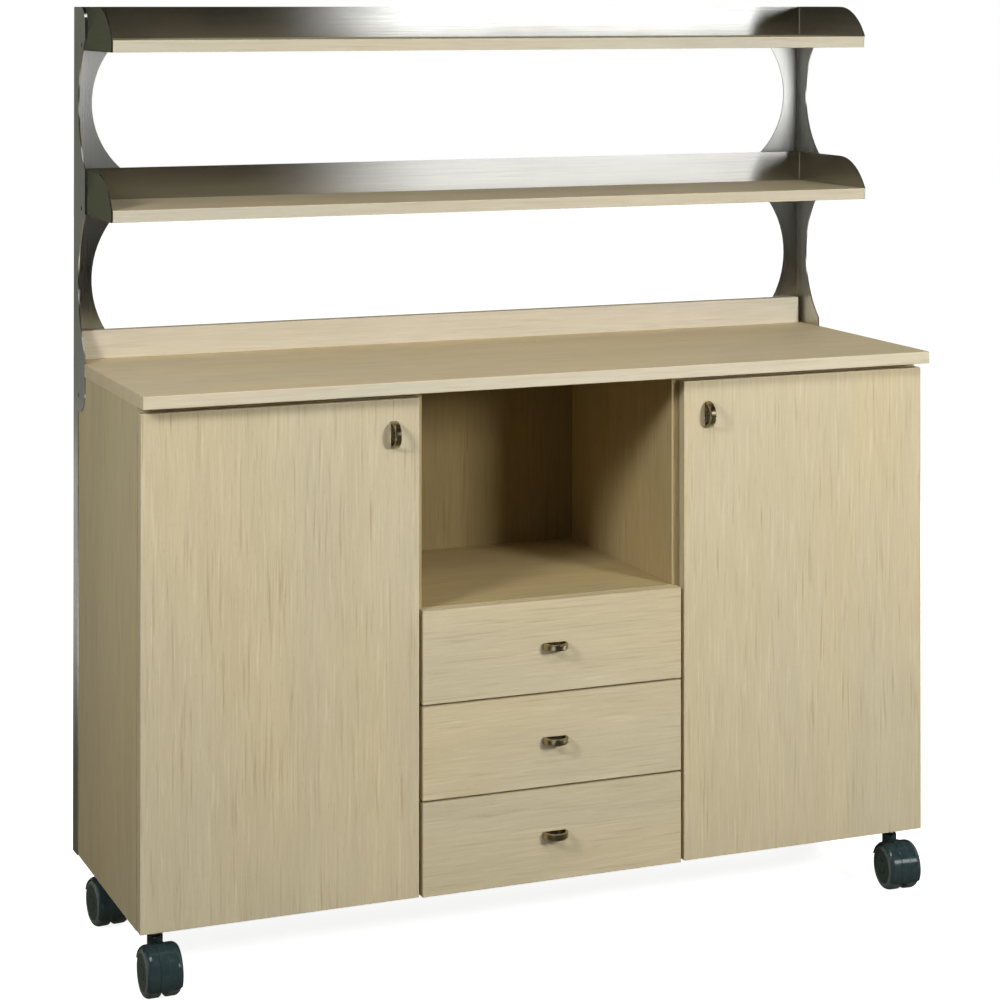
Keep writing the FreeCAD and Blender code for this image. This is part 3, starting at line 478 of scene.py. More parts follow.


# oak inside the cabinet and the niche, painted darker and browner: painted shade
insideShadeTint = (0.80, 0.735, 0.58)
# the back panel is the same oak, painted much darker: painted shade of the niche's back wall
backShadeTint = (0.50, 0.44, 0.31)
# the side panels' oak, painted a little darker and yellower than the doors' to offset the pale sheen they
# catch at a grazing angle: painted shade
sideShadeTint = (1.0, 0.98, 0.88)
# the worktop's oak, painted lighter than the doors': painted light on its top
topLitTint = (1.15, 1.13, 1.10)
# the upstand's oak, painted paler and whiter: a painted highlight for the light its front catches
litPaleTint = (1.0, 1.06, 1.28)
boardPieces = {
    # node: (grain, pattern shift, tint, sheen, arris width, figure)
    "worktop": ("X", 0.37, topLitTint, 0.05, 0.0006, 0.45),
    "rear_upstand": ("X", 1.91, litPaleTint, 0.05, 0.0008, 0.4),
    "side_panel_left": ("Z", 2.73, sideShadeTint, 0.03, 0.0006, 0.8),
    "side_panel_right": ("Z", 3.11, sideShadeTint, 0.03, 0.0006, 0.8),
    "partition_left": ("Z", 4.57, insideShadeTint, 0.03, 0.0006, 0.8),
    "partition_right": ("Z", 5.23, insideShadeTint, 0.03, 0.0006, 0.8),
    "door_left": ("Z", 6.41, plainTint, 0.05, 0.0008, 1.0),
    "door_right": ("Z", 7.77, plainTint, 0.05, 0.0008, 1.0),
    "drawer_front_bottom": ("X", 8.29, plainTint, 0.05, 0.0008, 0.8),
    "drawer_front_middle": ("X", 9.13, plainTint, 0.05, 0.0008, 0.8),
    "drawer_front_top": ("X", 10.61, plainTint, 0.05, 0.0006, 0.8),
    "bottom_panel": ("X", 11.17, insideShadeTint, 0.04, 0.0006, 0.8),
    "niche_floor": ("X", 12.83, insideShadeTint, 0.04, 0.0, 0.7),
    "back_panel": ("Z", 13.39, backShadeTint, 0.04, 0.0004, 0.8),
    "top_rails": ("X", 14.71, insideShadeTint, 0.04, 0.0006, 0.8),
    "cupboard_shelf_left": ("X", 15.07, insideShadeTint, 0.05, 0.0006, 0.8),
    "cupboard_shelf_right": ("X", 16.53, insideShadeTint, 0.05, 0.0006, 0.8),
    "shelf_board_lower": ("X", 17.99, plainTint, 0.05, 0.0008, 0.6),
    "shelf_board_upper": ("X", 18.43, plainTint, 0.05, 0.0008, 0.6),
    "drawer_runners": ("Y", 19.01, insideShadeTint, 0.05, 0.0005, 0.8),
}
# whiter copies of the oak for the fronts of the worktop and shelves: painted highlight
topLitBand = oakFinish("oakLitBand", "X", 21.3, (1.06, 1.1, 1.24), sheen=0.05, figure=0.5)
shelfLitBand = oakFinish("oakShelfLitBand", "X", 22.9, (0.93, 0.98, 1.12), sheen=0.05, figure=0.5)
bands = {"worktop": topLitBand, "shelf_board_lower": shelfLitBand, "shelf_board_upper": shelfLitBand}
for nodeName, (grain, shift, tint, sheen, width, figure) in boardPieces.items():
    oak = oakFinish("oak_" + nodeName, grain, shift, tint, sheen, figure)
    # boards inside the cabinet, the back panel and the drawer fronts take the darker arris, painted shade in
    # the niche and in the drawer gaps
    shaded = tint in (insideShadeTint, backShadeTint) or nodeName.startswith("drawer_front")
    board = dress(nodeName, "oak_" + nodeName, [oak, arrisPaintedShade if shaded else arris], 0.0, width)
    if nodeName in bands:
        litFrontBand(board, bands[nodeName])
print("oak boards dressed:", len(boardPieces))

birchPly = plyFinish("birchPly", "Y")
for level in ("bottom", "middle", "top"):
    dress("drawer_box_" + level, "ply_box_" + level, [birchPly], arrisWidth=0.0005)
    dress("drawer_bottom_" + level, "ply_bottom_" + level, [birchPly], arrisWidth=0.0003)
print("drawer boxes dressed")

sheetAngle, roundAngle = dressSettings["sheetAngle"], dressSettings["roundAngle"]
for nodeName in ("upright_left", "upright_right"):
    dress(nodeName, "steel_" + nodeName, [steelUp], sheetAngle)
for nodeName in ("shelf_rail_lower", "shelf_rail_upper"):
    dress(nodeName, "steel_" + nodeName, [steelLevel], sheetAngle)

# bow pulls, each with a strip that joins its two feet and lies on the board

pullSettings = {"plateThickness": 0.0012, "plateRound": 0.003, "roundSteps": 5}


def addPlate(piece):
    s = pullSettings
    low, high = lowHigh([vert.co for vert in piece.data.vertices])
    soft, back = s["plateRound"], high.y
    centres = [(high.x - soft, high.z - soft), (low.x + soft, high.z - soft),
               (low.x + soft, low.z + soft), (high.x - soft, low.z + soft)]
    work = bmesh.new()
    work.from_mesh(piece.data)
    outline = []
    for corner, (x, z) in enumerate(centres):
        for step in range(s["roundSteps"] + 1):
            turn = math.pi / 2 * (corner + step / s["roundSteps"])
            outline.append((x + soft * math.cos(turn), z + soft * math.sin(turn)))
    front = [work.verts.new((x, back - s["plateThickness"], z)) for x, z in outline]
    rear = [work.verts.new((x, back, z)) for x, z in outline]
    work.faces.new(front)
    work.faces.new(rear[::-1])
    for index in range(len(outline)):
        other = (index + 1) % len(outline)
        work.faces.new((front[other], front[index], rear[index], rear[other]))
    work.to_mesh(piece.data)
    work.free()


for nodeName in ("door_pull_left", "door_pull_right",
                 "drawer_pull_bottom", "drawer_pull_middle", "drawer_pull_top"):
    addPlate(dress(nodeName, "nickel_" + nodeName, [satinNickel], roundAngle))
for side in ("left", "right"):
    dress("hinge_cups_" + side, "hinge_cup_steel_" + side, [hingeSteel], roundAngle)
    dress("hinge_pins_" + side, "hinge_pin_steel_" + side, [hingeSteel], roundAngle)
dress("hinge_arms", "hinge_arm_steel", [hingeSteel], roundAngle)
dress("shelf_pins", "shelf_pin_steel", [zincSteel], roundAngle)
dress("castor_stems", "castor_stem_steel", [zincSteel], roundAngle)
print("metalwork dressed")


# castors: a hood with a raised band over two round-shouldered wheels

castorSettings = {
    # distances along the axle count from its middle, the wheel's and hood's radii from its line,
    # the boss's and pivot's radii from the stem's line, and the boss's top and low from the floor
    "trail": 0.028,
    "smoothAngle": 28.0,
    "mergeDistance": 0.000005,
    "turnSteps": 40,
    "wheelInner": 0.0038,
    "wheelOuter": 0.0278,
    "wheelRadius": 0.0375,
    "wheelSteps": 72,
    "innerRound": 0.003,
    "innerSteps": 4,
    "shoulder": 0.009,
    "shoulderSteps": 8,
    "boreRadius": 0.00405,
    "boreEnd": 0.0266,
    # the wheel's outer side, from the tyre inwards: how deep each point lies below the outermost
    # one, and how far outside the edge of the disc or hub (the crown: its share of the radius)
    "discRadius": 0.0268,
    "hubRadius": 0.0108,
    "tyreGroove": ((0.0, 0.0011), (0.0012, 0.0006), (0.0012, 0.0)),
    "discRim": (0.0005, -0.0006),
    "discCrown": (0.0002, 0.72),
    "hubGroove": ((0.0006, 0.0015), (0.0014, 0.0008), (0.0014, 0.0002), (0.0002, -0.0005)),
    "hubFlat": 0.5,
    "hoodInner": 0.0383,
    "hoodOuter": 0.0399,
    "hoodEnd": 50.0,
    "hoodSteps": 7,
    "bandRadius": 0.0410,
    "bandHalf": 0.0080,
    "bandRound": 0.001,
    "bandEdge": (0.0003, 0.0004),
    "frontSweep": 118.0,
    "backSweep": 70.0,
    "sweepSteps": 47,
    "webHalf": 0.003,
    "webStart": 0.006,
    "webOverlap": 0.0005,
    "webHub": 0.009,
    "bossRadius": 0.012,
    "bossTop": 0.084,
    "bossLow": 0.050,
    "bossRound": 0.002,
    "bossSteps": 3,
    # the rings of the boss's foot, as shares of its radius, and the radius about the axle that they
    # lie on
    "bossRings": (0.0, 0.4, 0.75, 1.0),
    "bossReach": 0.0388,
    "pivotRadius": 0.00505,
    "pivotDepth": 0.0133,
}


def arcPoints(centre, radius, start, finish, count):
    # points along an arc in the profile plane, angles in degrees from the outward radius
    points = []
    for step in range(count + 1):
        angle = math.radians(start + (finish - start) * step / count)
        points.append((centre[0] + radius * math.sin(angle), centre[1] + radius * math.cos(angle)))
    return points


def fullTurn(steps):
    return [math.tau * step / steps for step in range(steps)]


def sweptProfile(work, profile, place, angles, whole, secondFrom=math.inf):
    # a closed outline of (along, radius) points turned about a castor's axle; its sides from
    # number secondFrom on take the second finish
    middle, along, front = place
    rings = []
    for angle in angles:
        outward = Vector((0, 0, 1)) * math.cos(angle) + front * math.sin(angle)
        rings.append([work.verts.new(middle + along * spot[0] + outward * spot[1]) for spot in profile])
    count = len(profile)
    for first, second in zip(rings, rings[1:] + ([rings[0]] if whole else [])):
        for index in range(count):
            other = (index + 1) % count
            face = work.faces.new((first[index], first[other], second[other], second[index]))
            face.material_index = int(index >= secondFrom)
    if not whole:
        work.faces.new(rings[0][::-1])
        work.faces.new(rings[-1])


def finishedPiece(name, work, finishes, nodeName):
    c = castorSettings
    bmesh.ops.remove_doubles(work, verts=work.verts, dist=c["mergeDistance"])
    bmesh.ops.recalc_face_normals(work, faces=work.faces)
    for face in work.faces:
        face.smooth = True
    for edge in work.edges:
        edge.smooth = edge.calc_face_angle(math.pi) < math.radians(c["smoothAngle"])
    mesh = bpy.data.meshes.new(name)
    work.to_mesh(mesh)
    work.free()
    piece = addObject(name, mesh)
    for finish in finishes:
        mesh.materials.append(finish)
    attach(piece, cadNodes[nodeName]["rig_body"])
    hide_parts(nodeName)
    return piece


def castorWheel(name, nodeName, place, side):
    c = castorSettings
    radius, inner, outer = c["wheelRadius"], c["wheelInner"], c["wheelOuter"]
    soft, shoulder = c["innerRound"], c["shoulder"]
    disc, hub = c["discRadius"], c["hubRadius"]
    tyre = [(inner, c["boreRadius"])]
    tyre += arcPoints((inner + soft, radius - soft), soft, -90, 0, c["innerSteps"])
    tyre += arcPoints((outer - shoulder, radius - shoulder), shoulder, 0, 90, c["shoulderSteps"])
    tyre += [(outer - depth, disc + past) for depth, past in c["tyreGroove"]]
    face = [(outer - c["discRim"][0], disc + c["discRim"][1])]
    face += [(outer - c["discCrown"][0], disc * c["discCrown"][1])]
    face += [(outer - depth, hub + past) for depth, past in c["hubGroove"]]
    face += [(outer, hub * c["hubFlat"]), (outer, 0.0), (c["boreEnd"], 0.0), (c["boreEnd"], c["boreRadius"])]
    profile = [(spot[0] * side, spot[1]) for spot in tyre + face]
    work = bmesh.new()
    sweptProfile(work, profile, place, fullTurn(c["wheelSteps"]), True, len(tyre) - 1)
    return finishedPiece(name, work, [tyrePlastic, discPlastic], nodeName)


def webOutline(low, high):
    half = castorSettings["webHalf"]
    return [(half, low), (half, high), (-half, high), (-half, low)]


def hoodShell(work, place):
    # the shell over both wheels, the web between them and the ring round the axle
    c = castorSettings
    bend = (c["wheelOuter"] - c["shoulder"], c["wheelRadius"] - c["shoulder"])
    band, outer, inner = c["bandHalf"], c["hoodOuter"], c["hoodInner"]
    inset, drop = c["bandEdge"]
    half = [(band - c["bandRound"], c["bandRadius"]), (band - inset, c["bandRadius"] - drop), (band, outer)]
    half += arcPoints(bend, outer - bend[1], 0, c["hoodEnd"], c["hoodSteps"])
    half += arcPoints(bend, inner - bend[1], c["hoodEnd"], 0, c["hoodSteps"])
    shell = half + [(-spot[0], spot[1]) for spot in reversed(half)]
    low, high = math.radians(-c["backSweep"]), math.radians(c["frontSweep"])
    sweep = [low + (high - low) * step / c["sweepSteps"] for step in range(c["sweepSteps"] + 1)]
    for outline in (shell, webOutline(c["webStart"], inner + c["webOverlap"])):
        sweptProfile(work, outline, place, sweep, False)
    sweptProfile(work, webOutline(c["boreRadius"], c["webHub"]), place, fullTurn(c["turnSteps"]), True)


def swivelBoss(work, place):
    # the round boss behind the axle: its foot follows the hood, its top has the hole for the stem
    c = castorSettings
    middle, along, front = place
    stem = Vector((middle.x, middle.y, 0)) - front * c["trail"]
    boss, top, soft = c["bossRadius"], c["bossTop"], c["bossRound"]
    section = [(boss * share, None) for share in c["bossRings"]]
    section += arcPoints((boss - soft, top - soft), soft, 90, 0, c["bossSteps"])
    floor = top - c["pivotDepth"]
    section += [(c["pivotRadius"], top), (c["pivotRadius"], floor), (0.0, floor)]
    rings = []
    for turn in fullTurn(c["turnSteps"]):
        outward = front * math.cos(turn) + along * math.sin(turn)
        ring = []
        for reach, height in section:
            spot = stem + outward * reach
            if height is None:
                back = (spot - middle).dot(front)
                rise = max(c["bossReach"] ** 2 - back * back, (c["bossLow"] - middle.z) ** 2)
                height = middle.z + math.sqrt(rise)
            ring.append(work.verts.new((spot.x, spot.y, height)))
        rings.append(ring)
    for first, second in zip(rings, rings[1:] + rings[:1]):
        for index in range(len(section) - 1):
            work.faces.new((first[index], first[index + 1], second[index + 1], second[index]))


def castorHood(name, nodeName, place):
    work = bmesh.new()
    hoodShell(work, place)
    swivelBoss(work, place)
    return finishedPiece(name, work, [hoodPlastic], nodeName)


def nodeMiddle(nodeName):
    low, high = lowHigh([vert.co for vert in cadNodes[nodeName].data.vertices])
    return (low + high) / 2


for end in ("front", "rear"):
    for side in ("left", "right"):
        castor = end + "_" + side
        first, second = (nodeMiddle("castor_wheel_" + castor + "_" + wheel) for wheel in ("a", "b"))
        along = (second - first).normalized()
        place = ((first + second) / 2, along, Vector((along.y, -along.x, 0.0)))
        castorHood("hood_" + castor, "castor_housing_" + castor, place)
        dress("castor_axle_" + castor, "axle_" + castor, [zincSteel], roundAngle)
        castorWheel("wheel_" + castor + "_a", "castor_wheel_" + castor + "_a", place, -1)
        castorWheel("wheel_" + castor + "_b", "castor_wheel_" + castor + "_b", place, 1)
print("castors dressed")


# countersunk screws with a crossed recess

screwSettings = {
    "headRadius": 0.004,
    "headDepth": 0.0022,
    "headVertices": 28,
    "shankRadius": 0.0019,
    "shankLength": 0.0195,
    "shankVertices": 14,
    "recessLength": 0.0047,
    "recessWidth": 0.0011,
    "recessDepth": 0.0015,
    "seed": 7,
    # a screw that reaches past this x, left or right, faces sideways, and the others backwards
    "sideFrom": 0.6745,
}
screwInputs = {
    "Head Radius": "headRadius",
    "Head Depth": "headDepth",
    "Shank Radius": "shankRadius",
    "Shank Length": "shankLength",
    "Recess Length": "recessLength",
    "Recess Width": "recessWidth",
    "Recess Depth": "recessDepth",
    "Seed": "seed",
}


def screwHead(tree, given, below):
    # a cone with its flat face up, and a cross cut into that face
    cone = addNode(tree, "GeometryNodeMeshCone", {
        "Vertices": screwSettings["headVertices"], "Radius Top": given["Head Radius"],
        "Radius Bottom": given["Shank Radius"], "Depth": given["Head Depth"]})
    spot = addNode(tree, "ShaderNodeCombineXYZ", {"Z": below})
    head = addNode(tree, "GeometryNodeTransform", {
        "Geometry": cone.outputs["Mesh"], "Translation": spot.outputs["Vector"]})
    size = addNode(tree, "ShaderNodeCombineXYZ", {
        "X": given["Recess Length"], "Y": given["Recess Width"],
        "Z": maths(tree, "MULTIPLY", given["Recess Depth"], 2.0)})
    recess = addNode(tree, "GeometryNodeMeshCube", {"Size": size.outputs["Vector"]})
    crossed = addNode(tree, "GeometryNodeTransform", {
        "Geometry": recess.outputs["Mesh"], "Rotation": (0.0, 0.0, math.pi / 2)})
    cut = addNode(tree, "GeometryNodeMeshBoolean", {"Mesh 1": head.outputs["Geometry"]},
                  operation="DIFFERENCE", solver="EXACT")
    tree.links.new(recess.outputs["Mesh"], cut.inputs["Mesh 2"])
    tree.links.new(crossed.outputs["Geometry"], cut.inputs["Mesh 2"])
    return cut.outputs["Mesh"]


def screwShank(tree, given, below):
    shank = addNode(tree, "GeometryNodeMeshCylinder", {
        "Vertices": screwSettings["shankVertices"], "Radius": given["Shank Radius"],
        "Depth": given["Shank Length"]})
    drop = maths(tree, "ADD", maths(tree, "MULTIPLY", given["Shank Length"], -0.5), below)
    spot = addNode(tree, "ShaderNodeCombineXYZ", {"Z": drop})
    lowered = addNode(tree, "GeometryNodeTransform", {
        "Geometry": shank.outputs["Mesh"], "Translation": spot.outputs["Vector"]})
    return lowered.outputs["Geometry"]


def screwTurn(tree, given):
    # the direction stored with each spot, and a turn of the screw's own about it
    facing = addNode(tree, "GeometryNodeInputNamedAttribute", {"Name": "facing"}, data_type="FLOAT_VECTOR")
    aimed = addNode(tree, "FunctionNodeAlignRotationToVector", {"Vector": facing.outputs["Attribute"]},
                    axis="Z")
    # sockets 2 and 3 and output 1 are the ones for plain numbers
    turn = addNode(tree, "FunctionNodeRandomValue", {2: 0.0, 3: math.pi, "Seed": given["Seed"]},
                   data_type="FLOAT")
    spin = addNode(tree, "ShaderNodeCombineXYZ", {"Z": turn.outputs[1]})
    asTurn = addNode(tree, "FunctionNodeEulerToRotation", {"Euler": spin.outputs["Vector"]})
    turned = addNode(tree, "FunctionNodeRotateRotation", {
        "Rotation": aimed.outputs["Rotation"], "Rotate By": asTurn.outputs["Rotation"]},
        rotation_space="LOCAL")
    return turned.outputs["Rotation"]


def screwTree(name, finish):
    tree = bpy.data.node_groups.new(name, "GeometryNodeTree")
    face = tree.interface
    face.new_socket("Geometry", in_out="INPUT", socket_type="NodeSocketGeometry")
    for label in screwInputs:
        kind = "NodeSocketInt" if label == "Seed" else "NodeSocketFloat"
        face.new_socket(label, in_out="INPUT", socket_type=kind)
    face.new_socket("Geometry", in_out="OUTPUT", socket_type="NodeSocketGeometry")
    given = addNode(tree, "NodeGroupInput").outputs
    below = maths(tree, "MULTIPLY", given["Head Depth"], -1.0)
    screw = addNode(tree, "GeometryNodeJoinGeometry")
    tree.links.new(screwHead(tree, given, below), screw.inputs["Geometry"])
    tree.links.new(screwShank(tree, given, below), screw.inputs["Geometry"])
    placed = addNode(tree, "GeometryNodeInstanceOnPoints", {
        "Points": given["Geometry"], "Instance": screw.outputs["Geometry"],
        "Rotation": screwTurn(tree, given)})
    real = addNode(tree, "GeometryNodeRealizeInstances", {"Geometry": placed.outputs["Instances"]})
    coated = addNode(tree, "GeometryNodeSetMaterial", {
        "Geometry": real.outputs["Geometry"], "Material": finish})
    addNode(tree, "NodeGroupOutput", {"Geometry": coated.outputs["Geometry"]})
    return tree


def solidIslands(mesh):
    # the separate solids of a node, each as the list of its corner points
    work = bmesh.new()
    work.from_mesh(mesh)
    bmesh.ops.remove_doubles(work, verts=work.verts, dist=dressSettings["mergeDistance"])
    seen, islands = set(), []
    for first in work.verts:
        if first in seen:
            continue
        seen.add(first)
        stack, island = [first], []
        while stack:
            vert = stack.pop()
            island.append(vert.co.copy())
            for edge in vert.link_edges:
                other = edge.other_vert(vert)
                if other not in seen:
                    seen.add(other)
                    stack.append(other)
        islands.append(island)
    work.free()
    return islands


def setScrews(pieceName, spots, facings, body, tree):
    cloud = bpy.data.meshes.new(pieceName + "_spots")
    cloud.from_pydata(spots, [], [])
    facing = cloud.attributes.new("facing", "FLOAT_VECTOR", "POINT")
    facing.data.foreach_set("vector", [part for direction in facings for part in direction])
    carrier = addObject(pieceName + "_carrier", cloud)
    maker = carrier.modifiers.new("Screws", "NODES")
    maker.node_group = tree
    for item in tree.interface.items_tree:
        if item.in_out == "INPUT" and item.name in screwInputs:
            maker[item.identifier] = screwSettings[screwInputs[item.name]]
    evaluated = carrier.evaluated_get(bpy.context.evaluated_depsgraph_get())
    mesh = bpy.data.meshes.new_from_object(evaluated)
    mesh.name = pieceName
    carrier.modifiers.remove(maker)
    bpy.data.objects.remove(carrier)
    piece = addObject(pieceName, mesh)
    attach(piece, body)
    return piece


spots, facings = [], []
for island in solidIslands(cadNodes["steelwork_screws"].data):
    low, high = lowHigh(island)
    middle = (low + high) / 2
    if high.x > screwSettings["sideFrom"]:
        spots.append((high.x, middle.y, middle.z))
        facings.append((1.0, 0.0, 0.0))
    elif low.x < -screwSettings["sideFrom"]:
        spots.append((low.x, middle.y, middle.z))
        facings.append((-1.0, 0.0, 0.0))
    else:
        spots.append((middle.x, high.y, middle.z))
        facings.append((0.0, 1.0, 0.0))
screws = screwTree("CrossScrews", screwSteel)
steelScrews = setScrews("steelwork_screw_set", spots, facings, "cabinet", screws)
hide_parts("steelwork_screws")
print("screws set:", len(spots))


# floor, backdrop and lamps

stageSettings = {
    "floorReach": 14.0,
    # two distances from the middle, and the floor's own glow up to the first and from the second on
    "floorSeen": (0.6, 2.6, 0.88, 1.0),
    # how much light the floor throws back: on the object, and where it is looked at
    "floorBounce": 0.12,
    "floorPale": 0.9,
    "worldFill": 0.11,
    "lampTarget": (0.0, -0.2, 0.7),
}
lampSettings = {
    # name: (place, size, power)
    "keyLight": ((1.22, -2.49, 1.466), 0.5, 49.0),
    "sideLight": ((-2.33, -1.55, 2.05), 0.55, 41.0),
    "topLight": ((0.1, -2.5, 3.3), 1.0, 24.0),
    "backLight": ((2.3, 2.9, 1.9), 1.4, 42.0),
}


def softBox(name, place, size, power):
    lamp = bpy.data.lights.new(name, "AREA")
    lamp.shape = "SQUARE"
    lamp.size = size
    lamp.energy = power
    holder = addObject(name, lamp)
    holder.location = place
    aim = Vector(stageSettings["lampTarget"]) - Vector(place)
    holder.rotation_euler = aim.to_track_quat("-Z", "Y").to_euler()
    holder.visible_glossy = False  # the room further down is what shows in gloss


def seenRays(tree):
    path = addNode(tree, "ShaderNodeLightPath")
    seen = maths(tree, "ADD", path.outputs["Is Camera Ray"], path.outputs["Is Glossy Ray"])
    seen = maths(tree, "ADD", seen, path.outputs["Is Transmission Ray"])
    return maths(tree, "MINIMUM", seen, 1.0)


def stagePiece(name, corners, faces, finish):
    mesh = bpy.data.meshes.new(name)
    mesh.from_pydata(corners, [], faces)
    mesh.materials.append(finish)
    piece = addObject(name, mesh)
    return piece


def floorFinish():
    s = stageSettings
    finish = bpy.data.materials.new("floorPaint")
    finish.use_nodes = True
    tree = finish.node_tree
    tree.nodes.clear()
    seen = seenRays(tree)
    place = addNode(tree, "ShaderNodeTexCoord").outputs["Object"]
    away = addNode(tree, "ShaderNodeVectorMath", {0: place}, operation="LENGTH").outputs["Value"]
    strength = maths(tree, "MULTIPLY", seen, spread(tree, away, *s["floorSeen"]))
    glow = addNode(tree, "ShaderNodeEmission", {"Color": grey(1.0), "Strength": strength})
    paint = addNode(tree, "ShaderNodeBsdfDiffuse", {
        "Color": mixTone(tree, seen, grey(s["floorBounce"]), grey(s["floorPale"]))})
    both = addNode(tree, "ShaderNodeAddShader", {0: glow.outputs["Emission"], 1: paint.outputs["BSDF"]})
    addNode(tree, "ShaderNodeOutputMaterial", {"Surface": both.outputs["Shader"]})
    return finish


def studioWorld():
    world = bpy.data.worlds.new("studio")
    world.use_nodes = True
    tree = world.node_tree
    tree.nodes.clear()
    strength = spread(tree, seenRays(tree), 0.0, 1.0, stageSettings["worldFill"], 1.0)
    air = addNode(tree, "ShaderNodeBackground", {"Color": grey(1.0), "Strength": strength})
    addNode(tree, "ShaderNodeOutputWorld", {"Surface": air.outputs["Background"]})
    return world


reach = stageSettings["floorReach"]
floorCorners = [(-reach, -reach, 0), (reach, -reach, 0), (reach, reach, 0), (-reach, reach, 0)]
stagePiece("floor", floorCorners, [(0, 1, 2, 3)], floorFinish())
bpy.context.scene.world = studioWorld()
for name, (place, size, power) in lampSettings.items():
    softBox(name, place, size, power)


# the dark studio that only gloss and metal reflect, with lit panels

roomSettings = {
    "width": 6.0,
    "frontY": -2.5,
    "backY": 4.0,
    "height": 5.0,
    "rise": 0.003,
    "wallPlay": 0.01,
    "frontDark": (22, 21, 16),
    "backBand": (92, 95, 76),
    "backDark": (44, 46, 38),
    "upperDark": (16, 16, 13),
    "frontFloor": (84, 86, 74),
    "backFloor": (196, 197, 190),
    "sidePale": (176, 177, 172),
    # soft steps from one of these tones to another: middle and half width
    "backStep": (-1.5, 0.3),
    "depthStep": (0.8, 0.8),
    "upperStep": (1.75, 0.25),
    "floorStep": (1.5, 0.6),
    "footStep": (0.1, 0.09),
    "sideStep": (5.0, 0.6),
    # a lit panel at the front right: start, end and half width of its soft edge
    "panelAcross": (0.83, 2.7, 0.19),
    "panelUp": (1.1, 1.9, 0.12),
    "panelGlow": 3.3,
    # a panel overhead
    "overAcross": (-2.6, 0.1, 0.12),
    "overStep": (-0.9, 0.12),
    "overGlow": 3.0,
    # and two patches on the floor in front, for the drawer pulls
    "patches": (((-1.7, -0.75, 0.12), (-2.6, -1.2, 0.12)), ((1.35, 2.4, 0.12), (-1.55, -0.5, 0.12))),
    "patchGlow": 2.6,
}


def softStep(tree, value, middle, half):
    made = addNode(tree, "ShaderNodeMapRange", {
        "Value": value, "From Min": middle - half, "From Max": middle + half, "To Min": 0.0, "To Max": 1.0},
        interpolation_type="SMOOTHSTEP")
    return made.outputs["Result"]


def softWindow(tree, value, start, end, half):
    return maths(tree, "SUBTRACT", softStep(tree, value, start, half), softStep(tree, value, end, half))


def wallGlow(tree, across, depth, upward):
    c = roomSettings
    behind = mixTone(tree, softStep(tree, across, *c["backStep"]), tone(*c["backBand"]), tone(*c["backDark"]))
    glow = mixTone(tree, softStep(tree, depth, *c["depthStep"]), tone(*c["frontDark"]), behind)
    glow = mixTone(tree, softStep(tree, upward, *c["upperStep"]), glow, tone(*c["upperDark"]))
    ground = mixTone(tree, softStep(tree, depth, *c["floorStep"]),
                     tone(*c["frontFloor"]), tone(*c["backFloor"]))
    glow = mixTone(tree, softStep(tree, upward, *c["footStep"]), ground, glow)
    wide = maths(tree, "ABSOLUTE", across)
    return mixTone(tree, softStep(tree, wide, *c["sideStep"]), glow, tone(*c["sidePale"]))


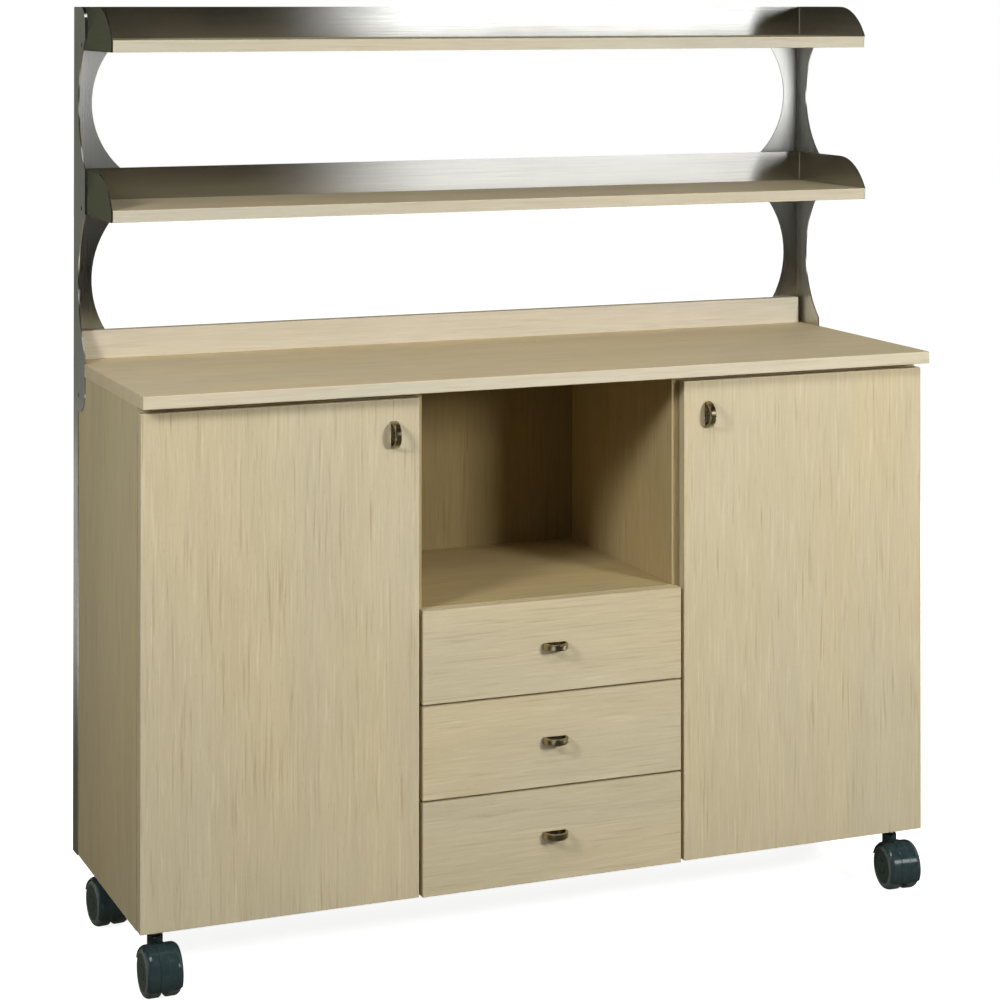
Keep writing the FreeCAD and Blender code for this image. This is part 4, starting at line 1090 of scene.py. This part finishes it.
def roomGlow(tree):
    c = roomSettings
    place = addNode(tree, "ShaderNodeTexCoord").outputs["Object"]
    split = addNode(tree, "ShaderNodeSeparateXYZ", {"Vector": place}).outputs
    across, depth, upward = split["X"], split["Y"], split["Z"]
    glow = wallGlow(tree, across, depth, upward)

    def lit(below, first, second, onWall, level):
        window = maths(tree, "MULTIPLY", first, second)
        return mixTone(tree, maths(tree, "MULTIPLY", window, onWall), below, grey(level))

    onFront = maths(tree, "LESS_THAN", depth, c["frontY"] + c["wallPlay"])
    onTop = maths(tree, "GREATER_THAN", upward, c["height"] - c["wallPlay"])
    onFloor = maths(tree, "LESS_THAN", upward, 2 * c["rise"])
    glow = lit(glow, softWindow(tree, across, *c["panelAcross"]), softWindow(tree, upward, *c["panelUp"]),
               onFront, c["panelGlow"])
    inFront = maths(tree, "SUBTRACT", 1.0, softStep(tree, depth, *c["overStep"]))
    glow = lit(glow, softWindow(tree, across, *c["overAcross"]), inFront, onTop, c["overGlow"])
    for wide, deep in c["patches"]:
        glow = lit(glow, softWindow(tree, across, *wide), softWindow(tree, depth, *deep),
                   onFloor, c["patchGlow"])
    return glow


def roomFinish():
    finish = bpy.data.materials.new("roomGlow")
    finish.use_nodes = True
    tree = finish.node_tree
    tree.nodes.clear()
    glow = addNode(tree, "ShaderNodeEmission", {"Color": roomGlow(tree), "Strength": 1.0})
    addNode(tree, "ShaderNodeOutputMaterial", {"Surface": glow.outputs["Emission"]})
    return finish


c = roomSettings
roomCorners = [(x, y, z) for z in (c["rise"], c["height"]) for y in (c["frontY"], c["backY"])
               for x in (-c["width"], c["width"])]
roomFaces = [(0, 1, 3, 2), (4, 6, 7, 5), (0, 4, 5, 1), (2, 3, 7, 6), (0, 2, 6, 4), (1, 5, 7, 3)]
room = stagePiece("room", roomCorners, roomFaces, roomFinish())
for sight in ("camera", "diffuse", "transmission", "volume_scatter", "shadow"):
    setattr(room, "visible_" + sight, False)
print("stage and light set")


# camera

cameraSettings = {
    "place": (-1.6564, -4.0249, 1.4900),
    "heading": 22.242,
    "dip": -0.437,
    "roll": 0.019,
    "lens": 94.22,
    "sensorWidth": 36.0,
    "shiftY": -0.5173,
    "farClip": 60.0,
}


def aimedTurn(heading, dip, roll):
    # the camera's axes as a matrix, from angles in radians
    forward = Vector((math.sin(heading) * math.cos(dip), math.cos(heading) * math.cos(dip), -math.sin(dip)))
    level = Vector((math.cos(heading), -math.sin(heading), 0.0))
    upward = level.cross(forward)
    right = level * math.cos(roll) + upward * math.sin(roll)
    over = upward * math.cos(roll) - level * math.sin(roll)
    return Matrix((right, over, -forward)).transposed().to_4x4()


c = cameraSettings
camera = addObject("viewCamera", bpy.data.cameras.new("viewCamera"))
camera.data.sensor_width = c["sensorWidth"]
camera.data.lens = c["lens"]
camera.data.shift_y = c["shiftY"]
camera.data.clip_end = c["farClip"]
turn = aimedTurn(*(math.radians(c[key]) for key in ("heading", "dip", "roll")))
camera.matrix_world = Matrix.Translation(c["place"]) @ turn
bpy.context.scene.camera = camera
bpy.context.scene.view_settings.view_transform = "Standard"
print("camera set")
